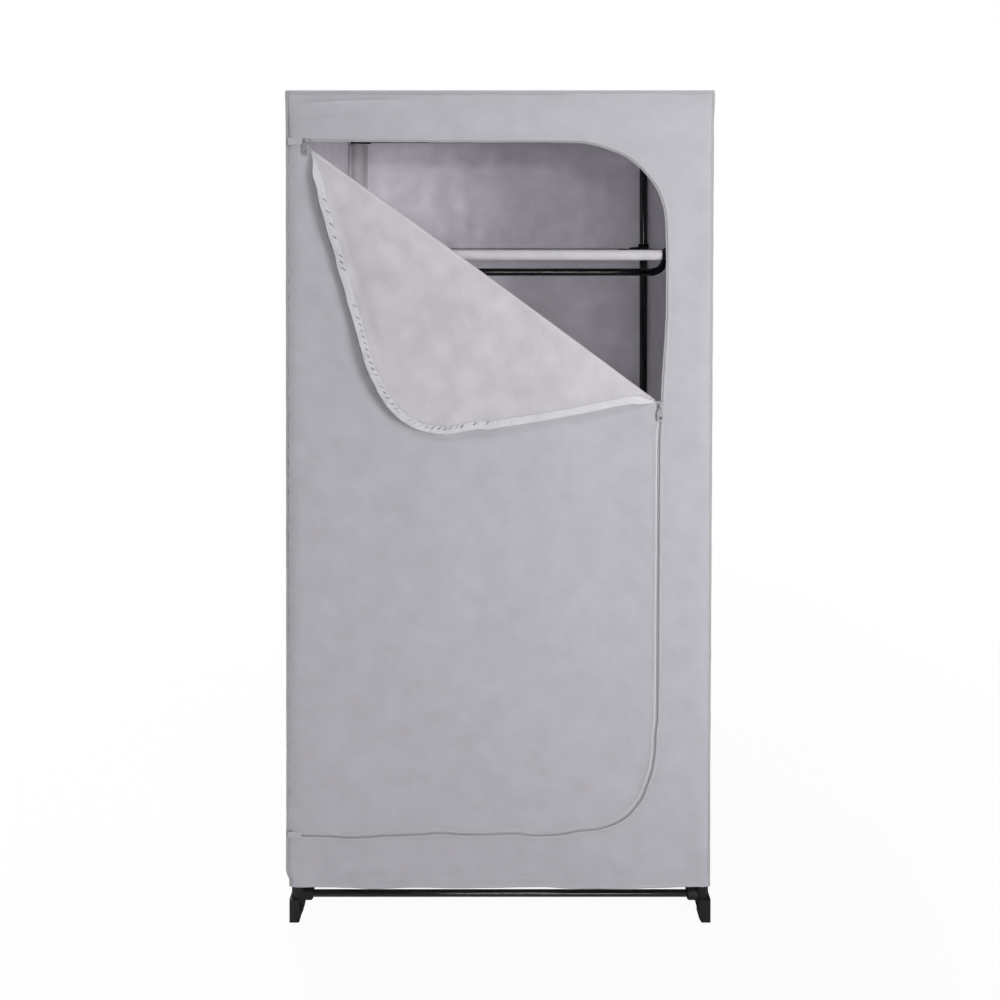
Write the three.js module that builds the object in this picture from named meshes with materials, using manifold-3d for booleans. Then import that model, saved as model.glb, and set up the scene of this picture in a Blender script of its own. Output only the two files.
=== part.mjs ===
// Portable fabric wardrobe. A frame of steel tubes stands on four moulded feet and carries a cloth shelf,
// a hanging rail and a sewn cover. The cover's door is zipped along its top, right side and bottom, and its
// upper corner is unzipped and folded down. Millimetres, +X to the right, +Y to the back, +Z up.

import * as THREE from "three";
import { mergeVertices } from "three/addons/utils/BufferGeometryUtils.js";
import Module from "manifold-3d";

const wasm = await Module();
wasm.setup();

// Fits and facets
const clearance = 0.3;
const overrun = 5;
const tubeSides = 16;
const mouldSides = 16;
const sliver = 0.005;
const cornerSteps = 10;
const curveSteps = 5;
const quarterTurn = Math.PI / 2;

// Cover
const coverWidth = 764.6;
const coverDepth = 500;
const coverHeight = 1490;
const hemHeight = 65;
const fabric = 1.2;
const bindingHeight = 7;
const bindingThickness = 0.9;

// Steel tubes
const postDiameter = 19;
const railDiameter = 14;
const bottomRailDiameter = 10;
const hangingDiameter = 16;
const tubeWall = 1;
const postJointHeight = 640;
const spigotLength = 30;
const spigotTaper = 3;
const spigotWall = 0.9;

// Levels of the frame
const bottomRailHeight = 40;
const shelfDrop = 282.5;
const hangingDrop = 42.5;

// Foot
const footSocketRadius = 11.5;
const footSocketTop = 96;
const footPostSeat = 72;
const footArmRadius = 9;
const footArmReach = 27;
const footArmSeat = 14;
const footMouthChamfer = 1.5;
const legOutward = 13;
const legInwardA = 5;
const legInwardB = 8;
const legCornerRadius = 2;
const legCornerSteps = 2;
const toeChamferWidth = 4.3;
const toeChamferHeight = 6.8;
const gussetThickness = 7;
const gussetReachA = 12.6;
const gussetReachB = 11.5;
const gussetFootA = 4;
const gussetFootB = 9;
const gussetBowReach = 11.5;
const gussetBowHeight = 11;

// Shelf-level connector
const shelfSleeveRadius = 13.5;
const shelfSleeveHeight = 37;
const shelfStop = 3;
const shelfStopWidth = 2.5;
const shelfArmReach = 35;
const shelfArmSeat = 15;
const shelfArmRoot = 12;
const shelfArmMouth = 9.5;

// Top corner connector
const cornerReach = 16;
const topRailDrop = 9.5;
const cornerSleeveRadius = 13;
const cornerSleeveDrop = 45;
const cornerPostSeat = 15;
const cornerArmRadius = 9.5;
const cornerArmReach = 36;
const cornerArmSeat = 17;
const cornerDomeRound = 5;

// Hanging-rail bracket
const hookRadius = 11;
const hookMouth = THREE.MathUtils.degToRad(64);
const bracketWidth = 16;
const bracketReach = 33;
const plugLength = 20;
const plugChamfer = 1.5;

// Shelf cloth
const shelfClothInset = 72.8;
const shelfSag = 9;
const shelfSagSteps = 12;

// Zip: the chain's line runs along the top, round two corners and along the bottom of the door
const zipTopInset = 91;
const zipBottomInset = 99;
const zipSideInset = 97.3;
const zipCorner = 150;
const zipEndInset = 10;
const fabricEdge = 3.4;
const coilInner = 0.8;
const coilOuter = 2.6;
const coilThickness = 2.4;
const tapeOuter = 16;
const tapeThickness = 0.8;
const tabLength = 23;
const tabHeight = 12;
const tabThickness = 0.9;

// Door corner, folded about a slanting line
const foldStartInset = 25.3;
const foldDrop = 467;
const foldRadius = 5;
const foldTurn = THREE.MathUtils.degToRad(174.5);
const foldInset = 26;
const rollInset = 50;
const foldSteps = 14;
const flapCorner = 125;
const flapSlant = THREE.MathUtils.degToRad(7);
const flapSideInset = 7;

// Zip slider and its pull
const sliderLength = 15;
const sliderWidth = 10.5;
const sliderPlate = 1.1;
const sliderTailShare = 0.7;
const sliderShoulderShare = 0.55;
const neckThickness = 1;
const neckLength = 9;
const bailRadius = 2;
const bailThickness = 1.2;
const bailWidth = 2;
const bailStandOff = 1.6;
const bailSteps = 16;
const pullThickness = 1.6;
const pullBar = 1.6;
const pullEyeWidth = 3.6;
const pullEyeLength = 3.4;
const pullEyeWall = 1.2;
const pullWidth = 11;
const pullShoulder = 9;
const pullLength = 27.5;
const pullGripPlace = 20.9;
const pullGripDiameter = 4.4;
const topSliderInset = 38.3;
const sideSliderDrop = 5;
const topPullGap = 0.45;

// Places worked out from the sizes above
const frontFace = -coverDepth / 2;
const halfWidth = coverWidth / 2;
const topUnderside = coverHeight - fabric;
const connectorTop = topUnderside - clearance;
const topRailHeight = connectorTop - topRailDrop;
const shelfHeight = topRailHeight - shelfDrop;
const hangingHeight = shelfHeight - hangingDrop;
const postX = halfWidth - fabric - clearance - cornerReach;
const postY = coverDepth / 2 - fabric - clearance - cornerReach;
const postSocketRadius = postDiameter / 2 + clearance;
const railSocketRadius = railDiameter / 2 + clearance;
const bottomSocketRadius = bottomRailDiameter / 2 + clearance;
const tapeFront = frontFace + fabric + clearance;
const coilFront = tapeFront + tapeThickness / 2 - coilThickness / 2;
const coilBack = coilFront + coilThickness;
const shelfClothHalf = postX - shelfClothInset;
const zipLeft = zipEndInset - halfWidth;
const zipRight = halfWidth - zipSideInset;
const zipTop = coverHeight - zipTopInset;
const zipBottom = hemHeight + zipBottomInset;
const foldTopX = foldStartInset - halfWidth;
const foldSideHeight = zipTop - foldDrop;
const topSliderX = topSliderInset - halfWidth;
const sideSliderHeight = foldSideHeight - sideSliderDrop;
const rollLength = foldTurn * foldRadius;

// Finishes
const blackSteel = new THREE.MeshStandardMaterial({ color: 0x151515, roughness: 0.35, metalness: 0.5 });
const blackPlastic = new THREE.MeshStandardMaterial({ color: 0x2b2b2c, roughness: 0.6, metalness: 0 });
const greyFabric = new THREE.MeshStandardMaterial({ color: 0xb2b1b6, roughness: 0.9, metalness: 0 });
const liningFabric = new THREE.MeshStandardMaterial({ color: 0xcacace, roughness: 0.85, metalness: 0 });
const seamBinding = new THREE.MeshStandardMaterial({ color: 0x8f9491, roughness: 0.9, metalness: 0 });
const zipTapeGrey = new THREE.MeshStandardMaterial({ color: 0xd0d0d3, roughness: 0.85, metalness: 0 });
const sliderGrey = new THREE.MeshStandardMaterial({ color: 0xa9a7a8, roughness: 0.4, metalness: 0.6 });

const wardrobe = new THREE.Group();

function add(parent, name, geometry, material, x = 0, y = 0, z = 0) {
  const mesh = new THREE.Mesh(geometry, material);
  mesh.name = name;
  mesh.position.set(x, y, z);
  parent.add(mesh);
  return mesh;
}

// Turning a geometry into a solid and back
function solid(geometry) {
  const bare = geometry.clone();
  bare.deleteAttribute("normal");
  bare.deleteAttribute("uv");
  const merged = mergeVertices(bare);
  const kept = [];
  const corners = merged.index.array;
  for (let i = 0; i < corners.length; i += 3) {
    const [a, b, c] = [corners[i], corners[i + 1], corners[i + 2]];
    if (a !== b && b !== c && c !== a) kept.push(a, b, c);
  }
  return new wasm.Manifold(
    new wasm.Mesh({
      numProp: 3,
      vertProperties: merged.attributes.position.array,
      triVerts: new Uint32Array(kept),
    }),
  );
}

function shapeOf(made) {
  const { vertProperties, triVerts } = made.asOriginal().simplify(sliver).getMesh();
  const geometry = new THREE.BufferGeometry();
  geometry.setAttribute("position", new THREE.BufferAttribute(vertProperties, 3));
  geometry.setIndex(new THREE.BufferAttribute(triVerts, 1));
  geometry.computeVertexNormals();
  return geometry;
}

function joined(first, ...others) {
  return others.reduce((whole, piece) => whole.add(piece), first);
}

// A profile of radius and height pairs turned about a standing, sideways or front-to-back axis
function turned(profile, sides, along = "z") {
  const points = profile.map(([radius, height]) => new THREE.Vector2(radius, height));
  const geometry = new THREE.LatheGeometry(points, sides);
  if (along === "z") geometry.rotateX(quarterTurn);
  if (along === "x") geometry.rotateZ(-quarterTurn);
  return geometry;
}

function rod(radius, from, to, sides, along) {
  return solid(turned([[0, from], [radius, from], [radius, to], [0, to]], sides, along));
}

// An outline in X and Z, given its thickness along Y behind its front face
function sheet(shape, front, thickness) {
  const geometry = new THREE.ExtrudeGeometry(shape, {
    depth: thickness,
    bevelEnabled: false,
    curveSegments: curveSteps,
  });
  geometry.rotateX(quarterTurn);
  geometry.translate(0, front + thickness, 0);
  return geometry;
}

// An outline in Y and Z, given its width along X, centred
function slice(shape, width) {
  const geometry = new THREE.ExtrudeGeometry(shape, {
    depth: width,
    bevelEnabled: false,
    curveSegments: curveSteps,
  });
  geometry.rotateX(quarterTurn);
  geometry.rotateZ(quarterTurn);
  geometry.translate(-width / 2, 0, 0);
  return geometry;
}

function box(low, high) {
  const size = new THREE.Vector3().subVectors(high, low);
  const middle = new THREE.Vector3().addVectors(high, low).divideScalar(2);
  return new THREE.BoxGeometry(size.x, size.y, size.z).translate(middle.x, middle.y, middle.z);
}

function point(x, z) {
  return new THREE.Vector2(x, z);
}

function arc(x, z, radius, from, to, steps) {
  return new THREE.ArcCurve(x, z, radius, from, to, from > to).getPoints(steps);
}

function band(line, other) {
  return new THREE.Shape([...line, ...other.slice().reverse()]);
}

// Steel tubes
function tube(diameter, from, to, along) {
  const outer = diameter / 2;
  const inner = outer - tubeWall;
  const ring = [[inner, from], [outer, from], [outer, to], [inner, to], [inner, from]];
  return turned(ring, tubeSides, along);
}

function lowerPost() {
  const outer = postDiameter / 2;
  const inner = outer - tubeWall;
  const spigotOuter = inner - clearance;
  const spigotInner = spigotOuter - spigotWall;
  const from = footPostSeat + clearance;
  const shoulder = postJointHeight - clearance;
  const profile = [
    [inner, from],
    [outer, from],
    [outer, shoulder - spigotTaper],
    [spigotOuter, shoulder],
    [spigotOuter, shoulder + spigotLength],
    [spigotInner, shoulder + spigotLength],
    [spigotInner, shoulder],
    [inner, shoulder - spigotTaper],
    [inner, from],
  ];
  return turned(profile, tubeSides);
}

// A socket arm along +X or +Y, from the post's axis out to its mouth
function arm(rootRadius, mouthRadius, reach, chamfer, along) {
  const profile = [
    [0, 0],
    [rootRadius, 0],
    [mouthRadius, reach - chamfer],
    [mouthRadius - chamfer, reach],
    [0, reach],
  ];
  return solid(turned(profile, mouldSides, along));
}

function armBores(radius, seat, reach, height) {
  const bores = ["x", "y"].map((along) =>
    rod(radius, seat, reach + overrun, tubeSides, along).translate(0, 0, height),
  );
  return joined(...bores);
}

// Foot: arm A runs along +X and arm B along +Y
function footLeg() {
  const plan = new THREE.Shape();
  const [left, right] = [-legOutward, legInwardA];
  const [near, far] = [-legOutward, legInwardB];
  const r = legCornerRadius;
  plan.moveTo(left + r, near);
  plan.lineTo(right - r, near);
  plan.quadraticCurveTo(right, near, right, near + r);
  plan.lineTo(right, far - r);
  plan.quadraticCurveTo(right, far, right - r, far);
  plan.lineTo(left + r, far);
  plan.quadraticCurveTo(left, far, left, far - r);
  plan.lineTo(left, near + r);
  plan.quadraticCurveTo(left, near, left + r, near);
  const column = solid(
    new THREE.ExtrudeGeometry(plan, {
      depth: bottomRailHeight,
      bevelEnabled: false,
      curveSegments: legCornerSteps,
    }),
  );
  const toe = new THREE.Shape([
    point(far - toeChamferWidth, 0),
    point(far + overrun, -overrun),
    point(far + overrun, toeChamferHeight * (1 + overrun / toeChamferWidth)),
  ]);
  return column.subtract(solid(slice(toe, legOutward * 2 + overrun)));
}

function gussets() {
  const underArm = bottomRailHeight - footArmRadius;
  const top = bottomRailHeight;
  const bowed = new THREE.Shape();
  bowed.moveTo(0, gussetFootA);
  bowed.lineTo(legInwardA, gussetFootA);
  bowed.quadraticCurveTo(gussetBowReach, gussetBowHeight, gussetReachA, underArm);
  bowed.lineTo(gussetReachA, top);
  bowed.lineTo(0, top);
  const hollow = new THREE.Shape();
  hollow.moveTo(0, gussetFootB);
  hollow.lineTo(legInwardB - legCornerRadius, gussetFootB);
  hollow.quadraticCurveTo(gussetReachB, (gussetFootB + underArm) / 2, gussetReachB, underArm);
  hollow.lineTo(gussetReachB, top);
  hollow.lineTo(0, top);
  return solid(sheet(bowed, -gussetThickness / 2, gussetThickness)).add(
    solid(slice(hollow, gussetThickness)),
  );
}

function foot() {
  const sockets = ["x", "y"].map((along) =>
    arm(footArmRadius, footArmRadius, footArmReach, footMouthChamfer, along)
      .translate(0, 0, bottomRailHeight),
  );
  const base = bottomRailHeight - footArmRadius;
  const upright = solid(
    turned(
      [
        [0, base],
        [footSocketRadius - footMouthChamfer, base],
        [footSocketRadius, base + footMouthChamfer],
        [footSocketRadius, footSocketTop - footMouthChamfer],
        [footSocketRadius - footMouthChamfer, footSocketTop],
        [0, footSocketTop],
      ],
      mouldSides,
    ),
  );
  const postBore = rod(postSocketRadius, footPostSeat, footSocketTop + overrun, tubeSides);
  const railBores = armBores(bottomSocketRadius, footArmSeat, footArmReach, bottomRailHeight);
  const body = joined(upright, ...sockets, footLeg(), gussets());
  return shapeOf(body.subtract(postBore).subtract(railBores));
}

function shelfConnector() {
  const half = shelfSleeveHeight / 2;
  const sleeve = rod(shelfSleeveRadius, -half, half, mouldSides);
  const arms = ["x", "y"].map((along) =>
    arm(shelfArmRoot, shelfArmMouth, shelfArmReach, footMouthChamfer / 2, along),
  );
  const bores = [
    rod(postSocketRadius, shelfStop / 2, half + overrun, tubeSides),
    rod(postSocketRadius, -half - overrun, -shelfStop / 2, tubeSides),
    rod(postSocketRadius - shelfStopWidth, -half, half, tubeSides),
    armBores(railSocketRadius, shelfArmSeat, shelfArmReach, 0),
  ];
  return shapeOf(joined(sleeve, ...arms).subtract(joined(...bores)));
}

// Top corner: a sleeve down over the post, a rounded head and two arms, placed by the top rails' height
function cornerConnector() {
  const head = solid(
    turned(
      [
        [0, -cornerSleeveDrop],
        [cornerSleeveRadius, -cornerSleeveDrop],
        [cornerSleeveRadius, -cornerPostSeat],
        [cornerReach, 0],
        [cornerReach, topRailDrop - cornerDomeRound],
        [cornerReach - cornerDomeRound, topRailDrop],
        [0, topRailDrop],
      ],
      mouldSides,
    ),
  );
  const arms = ["x", "y"].map((along) =>
    arm(cornerArmRadius, cornerArmRadius, cornerArmReach, footMouthChamfer, along),
  );
  const postBore = rod(postSocketRadius, -cornerSleeveDrop - overrun, -cornerPostSeat, tubeSides);
  const railBores = armBores(railSocketRadius, cornerArmSeat, cornerArmReach, 0);
  return shapeOf(joined(head, ...arms).subtract(postBore.add(railBores)));
}

// Bracket: a hook over the side rail at its origin, and a plug along +X into the end of the hanging rail
function hangingBracket() {
  const railRadius = hangingDiameter / 2;
  const inner = railSocketRadius;
  const mouthFrom = Math.PI + quarterTurn / 2 - hookMouth / 2;
  const hook = new THREE.Shape([
    ...arc(0, 0, hookRadius, mouthFrom, mouthFrom + hookMouth - quarterTurn * 4, cornerSteps * 2),
    ...arc(0, 0, inner, mouthFrom + hookMouth - quarterTurn * 4, mouthFrom, cornerSteps * 2),
  ]);
  const web = new THREE.Shape();
  web.moveTo(bracketReach, -hangingDrop - railRadius);
  web.quadraticCurveTo(0, -hangingDrop, 0, -(hookRadius + inner) / 2);
  web.lineTo((hookRadius + inner) / 2, 0);
  const webTop = railRadius - hangingDrop;
  web.quadraticCurveTo(hookRadius, webTop, bracketReach, webTop);
  const plugRadius = railRadius - tubeWall - clearance;
  const end = bracketReach + plugLength;
  const plug = solid(
    turned(
      [
        [0, bracketReach - railRadius],
        [plugRadius, bracketReach - railRadius],
        [plugRadius, end - plugChamfer],
        [plugRadius - plugChamfer, end],
        [0, end],
      ],
      tubeSides,
      "x",
    ),
  ).translate(0, 0, -hangingDrop);
  const eye = rod(inner, -bracketWidth, bracketWidth, tubeSides, "y");
  const plates = [hook, web].map((shape) => solid(sheet(shape, -bracketWidth / 2, bracketWidth)));
  return shapeOf(joined(...plates).subtract(eye).add(plug));
}

// Four corners: each mould is turned a quarter further round, so that its arms meet the rails
const corners = [
  { place: "front_left", sideX: -1, sideY: -1, turn: 0 },
  { place: "front_right", sideX: 1, sideY: -1, turn: quarterTurn },
  { place: "rear_right", sideX: 1, sideY: 1, turn: quarterTurn * 2 },
  { place: "rear_left", sideX: -1, sideY: 1, turn: quarterTurn * 3 },
];
const footShape = foot();
const shelfConnectorShape = shelfConnector();
const cornerConnectorShape = cornerConnector();
const lowerPostShape = lowerPost();
const stop = shelfStop / 2 + clearance;
const middlePostShape = tube(postDiameter, postJointHeight, shelfHeight - stop);
const upperPostShape = tube(
  postDiameter,
  shelfHeight + stop,
  topRailHeight - cornerPostSeat - clearance,
);
for (const { place, sideX, sideY, turn } of corners) {
  const corner = new THREE.Group();
  corner.position.set(sideX * postX, sideY * postY, 0);
  corner.rotation.z = turn;
  wardrobe.add(corner);
  add(corner, `foot_${place}`, footShape, blackPlastic);
  add(corner, `post_lower_${place}`, lowerPostShape, blackSteel);
  add(corner, `post_middle_${place}`, middlePostShape, blackSteel);
  add(corner, `post_upper_${place}`, upperPostShape, blackSteel);
  add(corner, `shelf_connector_${place}`, shelfConnectorShape, blackPlastic, 0, 0, shelfHeight);
  add(corner, `top_corner_${place}`, cornerConnectorShape, blackPlastic, 0, 0, topRailHeight);
}

// Rails: pairs across the width and pairs along the depth, at three levels
const levels = [
  { level: "bottom_rail", size: bottomRailDiameter, height: bottomRailHeight, seat: footArmSeat },
  { level: "shelf_rail", size: railDiameter, height: shelfHeight, seat: shelfArmSeat },
  { level: "top_rail", size: railDiameter, height: topRailHeight, seat: cornerArmSeat },
];
for (const { level, size, height, seat } of levels) {
  const acrossHalf = postX - seat - clearance;
  const alongHalf = postY - seat - clearance;
  const across = tube(size, -acrossHalf, acrossHalf, "x");
  const along = tube(size, -alongHalf, alongHalf, "y");
  add(wardrobe, `${level}_front`, across, blackSteel, 0, -postY, height);
  add(wardrobe, `${level}_rear`, across, blackSteel, 0, postY, height);
  add(wardrobe, `${level}_left`, along, blackSteel, -postX, 0, height);
  add(wardrobe, `${level}_right`, along, blackSteel, postX, 0, height);
}

// Hanging rail between its two brackets
const bracketShape = hangingBracket();
for (const [place, side, turn] of [["left", -1, 0], ["right", 1, quarterTurn * 2]]) {
  const bracket = add(
    wardrobe, `hanging_bracket_${place}`, bracketShape, blackPlastic, side * postX, 0, shelfHeight,
  );
  bracket.rotation.z = turn;
}
const hangingHalf = postX - bracketReach - clearance;
const hangingTube = tube(hangingDiameter, -hangingHalf, hangingHalf, "x");
add(wardrobe, "hanging_rail", hangingTube, blackSteel, 0, 0, hangingHeight);

// Shelf cloth: a sagging sheet with a sleeve sewn round the front tube and one round the rear tube
function shelfCloth() {
  const inner = railSocketRadius;
  const outer = inner + fabric;
  const top = outer;
  const sag = (share) => top - shelfSag * (1 - share * share);
  const upper = [];
  for (let i = 0; i <= shelfSagSteps; i += 1) {
    const share = (2 * i) / shelfSagSteps - 1;
    upper.push(point(share * postY, sag(share)));
  }
  const lower = upper.map((p) => point(p.x, p.y - fabric));
  const width = shelfClothHalf * 2;
  const sleeves = [-postY, postY].map((y) =>
    rod(outer, -shelfClothHalf, shelfClothHalf, mouldSides, "x").translate(0, y, 0),
  );
  const bores = [-postY, postY].map((y) =>
    rod(inner, -width, width, tubeSides, "x").translate(0, y, 0),
  );
  const cloth = joined(solid(slice(band(upper, lower), width)), ...sleeves);
  return shapeOf(cloth.subtract(joined(...bores)));
}
add(wardrobe, "shelf_cloth", shelfCloth(), liningFabric, 0, 0, shelfHeight);

// Lines that follow the zip, moved inward to the door by a distance, or outward by a negative one
function zipLine(inward, left = zipLeft) {
  const x = zipRight - zipCorner;
  const radius = zipCorner - inward;
  return [
    point(left, zipTop - inward),
    ...arc(x, zipTop - zipCorner, radius, quarterTurn, 0, cornerSteps),
    ...arc(x, zipBottom + zipCorner, radius, 0, -quarterTurn, cornerSteps),
    point(left, zipBottom + inward),
  ];
}

// The same for the folded corner's own edge, in its closed place: rounder, with a slanting side
function flapLine(inward) {
  const sideX = zipRight - flapSideInset;
  const centreZ = zipTop - flapCorner;
  const rise = (centreZ - foldSideHeight) * Math.sin(flapSlant);
  const centreX = sideX - (flapCorner + rise) / Math.cos(flapSlant);
  return [
    point(zipLeft, zipTop - inward),
    ...arc(centreX, centreZ, flapCorner - inward, quarterTurn, flapSlant, cornerSteps),
    point(sideX - inward * Math.cos(flapSlant), foldSideHeight - inward * Math.sin(flapSlant)),
  ];
}

// The fold's frame: x along the fold, y across it towards the corner, z to the front
const foldStart = point(foldTopX, zipTop);
const foldEnd = point(zipRight, foldSideHeight);
const foldAlong = foldEnd.clone().sub(foldStart).normalize();
const foldAcross = point(-foldAlong.y, foldAlong.x);
const foldApex = foldRadius + fabric / 2;
const foldOrigin = foldStart.clone().addScaledVector(foldAcross, -foldApex);
const foldFrame = new THREE.Matrix4()
  .makeBasis(
    new THREE.Vector3(foldAlong.x, 0, foldAlong.y),
    new THREE.Vector3(foldAcross.x, 0, foldAcross.y),
    new THREE.Vector3(0, -1, 0),
  )
  .setPosition(foldOrigin.x, frontFace + fabric / 2, foldOrigin.y);

// A block past a line across the fold, or short of it, and from where the fold begins
function pastFold(from, to, begin) {
  const low = new THREE.Vector3(begin, from, -coverDepth);
  const high = new THREE.Vector3(coverHeight, to, coverDepth);
  return solid(box(low, high).applyMatrix4(foldFrame));
}

// The cover
const coverY = coverDepth / 2;
const sideHeight = topUnderside - clearance - hemHeight;
const sideMiddle = hemHeight + sideHeight / 2;
const frontHalf = halfWidth - fabric - clearance;
add(
  wardrobe, "cover_top", new THREE.BoxGeometry(coverWidth, coverDepth, fabric), greyFabric,
  0, 0, coverHeight - fabric / 2,
);
for (const [place, side] of [["left", -1], ["right", 1]]) {
  add(
    wardrobe, `cover_${place}`, new THREE.BoxGeometry(fabric, coverDepth, sideHeight), greyFabric,
    side * (halfWidth - fabric / 2), 0, sideMiddle,
  );
}
add(
  wardrobe, "cover_back", new THREE.BoxGeometry(frontHalf * 2, fabric, sideHeight), greyFabric,
  0, coverY - fabric / 2, sideMiddle,
);
const surround = new THREE.Shape([
  ...zipLine(-fabricEdge, -frontHalf),
  point(-frontHalf, hemHeight),
  point(frontHalf, hemHeight),
  point(frontHalf, hemHeight + sideHeight),
  point(-frontHalf, hemHeight + sideHeight),
]);
add(wardrobe, "cover_front", sheet(surround, frontFace, fabric), greyFabric);

function rectangle(halfX, halfY) {
  return [point(-halfX, -halfY), point(halfX, -halfY), point(halfX, halfY), point(-halfX, halfY)];
}
const bindingInner = [halfWidth + clearance, coverY + clearance];
const bindingRing = new THREE.Shape(
  rectangle(bindingInner[0] + bindingThickness, bindingInner[1] + bindingThickness),
);
bindingRing.holes.push(new THREE.Path(rectangle(...bindingInner)));
const binding = new THREE.ExtrudeGeometry(bindingRing, { depth: bindingHeight, bevelEnabled: false });
add(wardrobe, "top_binding", binding, seamBinding, 0, 0, coverHeight - bindingHeight);

// The door's lower panel, as far as the fold
const doorShape = new THREE.Shape(zipLine(fabricEdge, -frontHalf));
const belowFold = pastFold(-coverHeight * 2, 0, -coverHeight);
const doorPanel = solid(sheet(doorShape, frontFace, fabric)).intersect(belowFold);
add(wardrobe, "door_panel", shapeOf(doorPanel), greyFabric);

// The roll of cloth from the panel round to the folded corner
function foldRoll() {
  const gap = clearance / foldRadius;
  const arcLine = (radius) => {
    const line = [];
    for (let i = 0; i <= foldSteps; i += 1) {
      const angle = gap + ((foldTurn - gap * 2) * i) / foldSteps;
      line.push(point(Math.sin(angle) * radius, foldRadius - Math.cos(angle) * radius));
    }
    return line;
  };
  const profile = band(arcLine(foldRadius + fabric / 2), arcLine(foldRadius - fabric / 2));
  const length = foldEnd.distanceTo(foldStart);
  const roll = slice(profile, length).translate(length / 2, 0, 0).applyMatrix4(foldFrame);
  const end = zipRight - sliderWidth / 2 - clearance * 2;
  const low = new THREE.Vector3(-coverWidth, -coverDepth, 0);
  const high = new THREE.Vector3(end, coverDepth, coverHeight);
  return solid(roll).intersect(solid(box(low, high))).intersect(
    pastFold(-coverHeight, coverHeight, rollInset),
  );
}
add(wardrobe, "door_fold", shapeOf(foldRoll()), greyFabric);

// The folded corner is made in its closed place and turned about the axis that lays the roll's length flat
const rollEnd = point(foldRadius * Math.sin(foldTurn), foldRadius * (1 - Math.cos(foldTurn)));
const flatEnd = point(rollLength, 0);
const halfStep = rollEnd.clone().sub(flatEnd).divideScalar(2);
const cotangent = 1 / Math.tan(foldTurn / 2);
const pivot = rollEnd.clone().add(flatEnd).divideScalar(2);
pivot.add(point(-halfStep.y, halfStep.x).multiplyScalar(cotangent));
const pivotPlace = new THREE.Matrix4().makeTranslation(0, pivot.x, pivot.y);
const folding = new THREE.Matrix4()
  .multiply(foldFrame)
  .multiply(pivotPlace)
  .multiply(new THREE.Matrix4().makeRotationX(foldTurn))
  .multiply(pivotPlace.clone().invert())
  .multiply(foldFrame.clone().invert());

const flap = new THREE.Group();
flap.applyMatrix4(folding);
wardrobe.add(flap);
const aboveFold = pastFold(rollLength + clearance, coverHeight * 2, foldInset);
const flapSheet = solid(sheet(new THREE.Shape(flapLine(fabricEdge)), frontFace, fabric));
add(flap, "door_flap", shapeOf(flapSheet.intersect(aboveFold)), greyFabric);

// Zip tapes with their coils, each sewn behind the cloth's edge
function zipTape(line, side) {
  const tape = sheet(band(line(side * coilInner), line(side * tapeOuter)), tapeFront, tapeThickness);
  const coil = sheet(band(line(side * coilInner), line(side * coilOuter)), coilFront, coilThickness);
  return solid(tape).add(solid(coil));
}
add(wardrobe, "zip_tape_cover", shapeOf(zipTape(zipLine, -1)), zipTapeGrey);
const doorTapeEnd = solid(
  box(
    new THREE.Vector3(0, -coverDepth, 0),
    new THREE.Vector3(coverWidth, 0, foldSideHeight - tapeOuter),
  ),
);
const doorTapeFoot = solid(
  box(
    new THREE.Vector3(-coverWidth, -coverDepth, 0),
    new THREE.Vector3(coverWidth, 0, zipBottom + zipCorner),
  ),
);
const doorTape = zipTape(zipLine, 1).intersect(doorTapeEnd.add(doorTapeFoot));
add(wardrobe, "zip_tape_door", shapeOf(doorTape), zipTapeGrey);
add(flap, "zip_tape_flap", shapeOf(zipTape(flapLine, 1).intersect(aboveFold)), zipTapeGrey);

// Cloth tabs over the zip's two ends
const tabShape = new THREE.BoxGeometry(tabLength, tabThickness, tabHeight);
const tabX = -frontHalf + clearance * 2 + tabLength / 2 + tabThickness;
const tabY = frontFace - clearance - tabThickness / 2;
add(wardrobe, "zip_tab_top", tabShape, seamBinding, tabX, tabY, zipTop);
add(wardrobe, "zip_tab_bottom", tabShape, seamBinding, tabX, tabY, zipBottom);

// Slider: a front plate with its bail and a back plate, joined by a neck between the two coils.
// It runs along z, and its origin lies on the chain's line at the front plate's back face.
function plateOutline() {
  const half = sliderLength / 2;
  const wide = sliderWidth / 2;
  const tail = wide * sliderTailShare;
  const shoulder = wide * sliderShoulderShare;
  const outline = new THREE.Shape();
  outline.moveTo(-tail, -half);
  outline.lineTo(tail, -half);
  outline.quadraticCurveTo(tail, 0, wide, half / 2);
  outline.quadraticCurveTo(wide, half, shoulder, half);
  outline.lineTo(-shoulder, half);
  outline.quadraticCurveTo(-wide, half, -wide, half / 2);
  outline.quadraticCurveTo(-tail, 0, -tail, -half);
  return outline;
}

function slider() {
  const depth = coilBack + clearance - (frontFace - clearance);
  const front = solid(sheet(plateOutline(), -sliderPlate, sliderPlate));
  const back = solid(sheet(plateOutline(), depth, sliderPlate));
  const halfNeck = neckLength / 2;
  const neckPlan = new THREE.Shape();
  neckPlan.moveTo(0, -halfNeck);
  neckPlan.lineTo(neckThickness / 2, 0);
  neckPlan.lineTo(neckThickness / 2, halfNeck);
  neckPlan.lineTo(-neckThickness / 2, halfNeck);
  neckPlan.lineTo(-neckThickness / 2, 0);
  const neck = solid(sheet(neckPlan, -sliderPlate / 2, depth + sliderPlate));
  const centre = -sliderPlate - bailStandOff;
  const inner = rod(bailRadius, -bailWidth, bailWidth, bailSteps, "x");
  const outer = rod(bailRadius + bailThickness, -bailWidth / 2, bailWidth / 2, bailSteps, "x");
  const bail = outer.subtract(inner).translate(0, centre, 0);
  const reach = bailRadius + bailThickness + overrun;
  const before = solid(
    box(
      new THREE.Vector3(-reach, centre - reach, -reach),
      new THREE.Vector3(reach, -sliderPlate / 2, reach),
    ),
  );
  return shapeOf(joined(front, back, neck, bail.intersect(before)));
}

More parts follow.
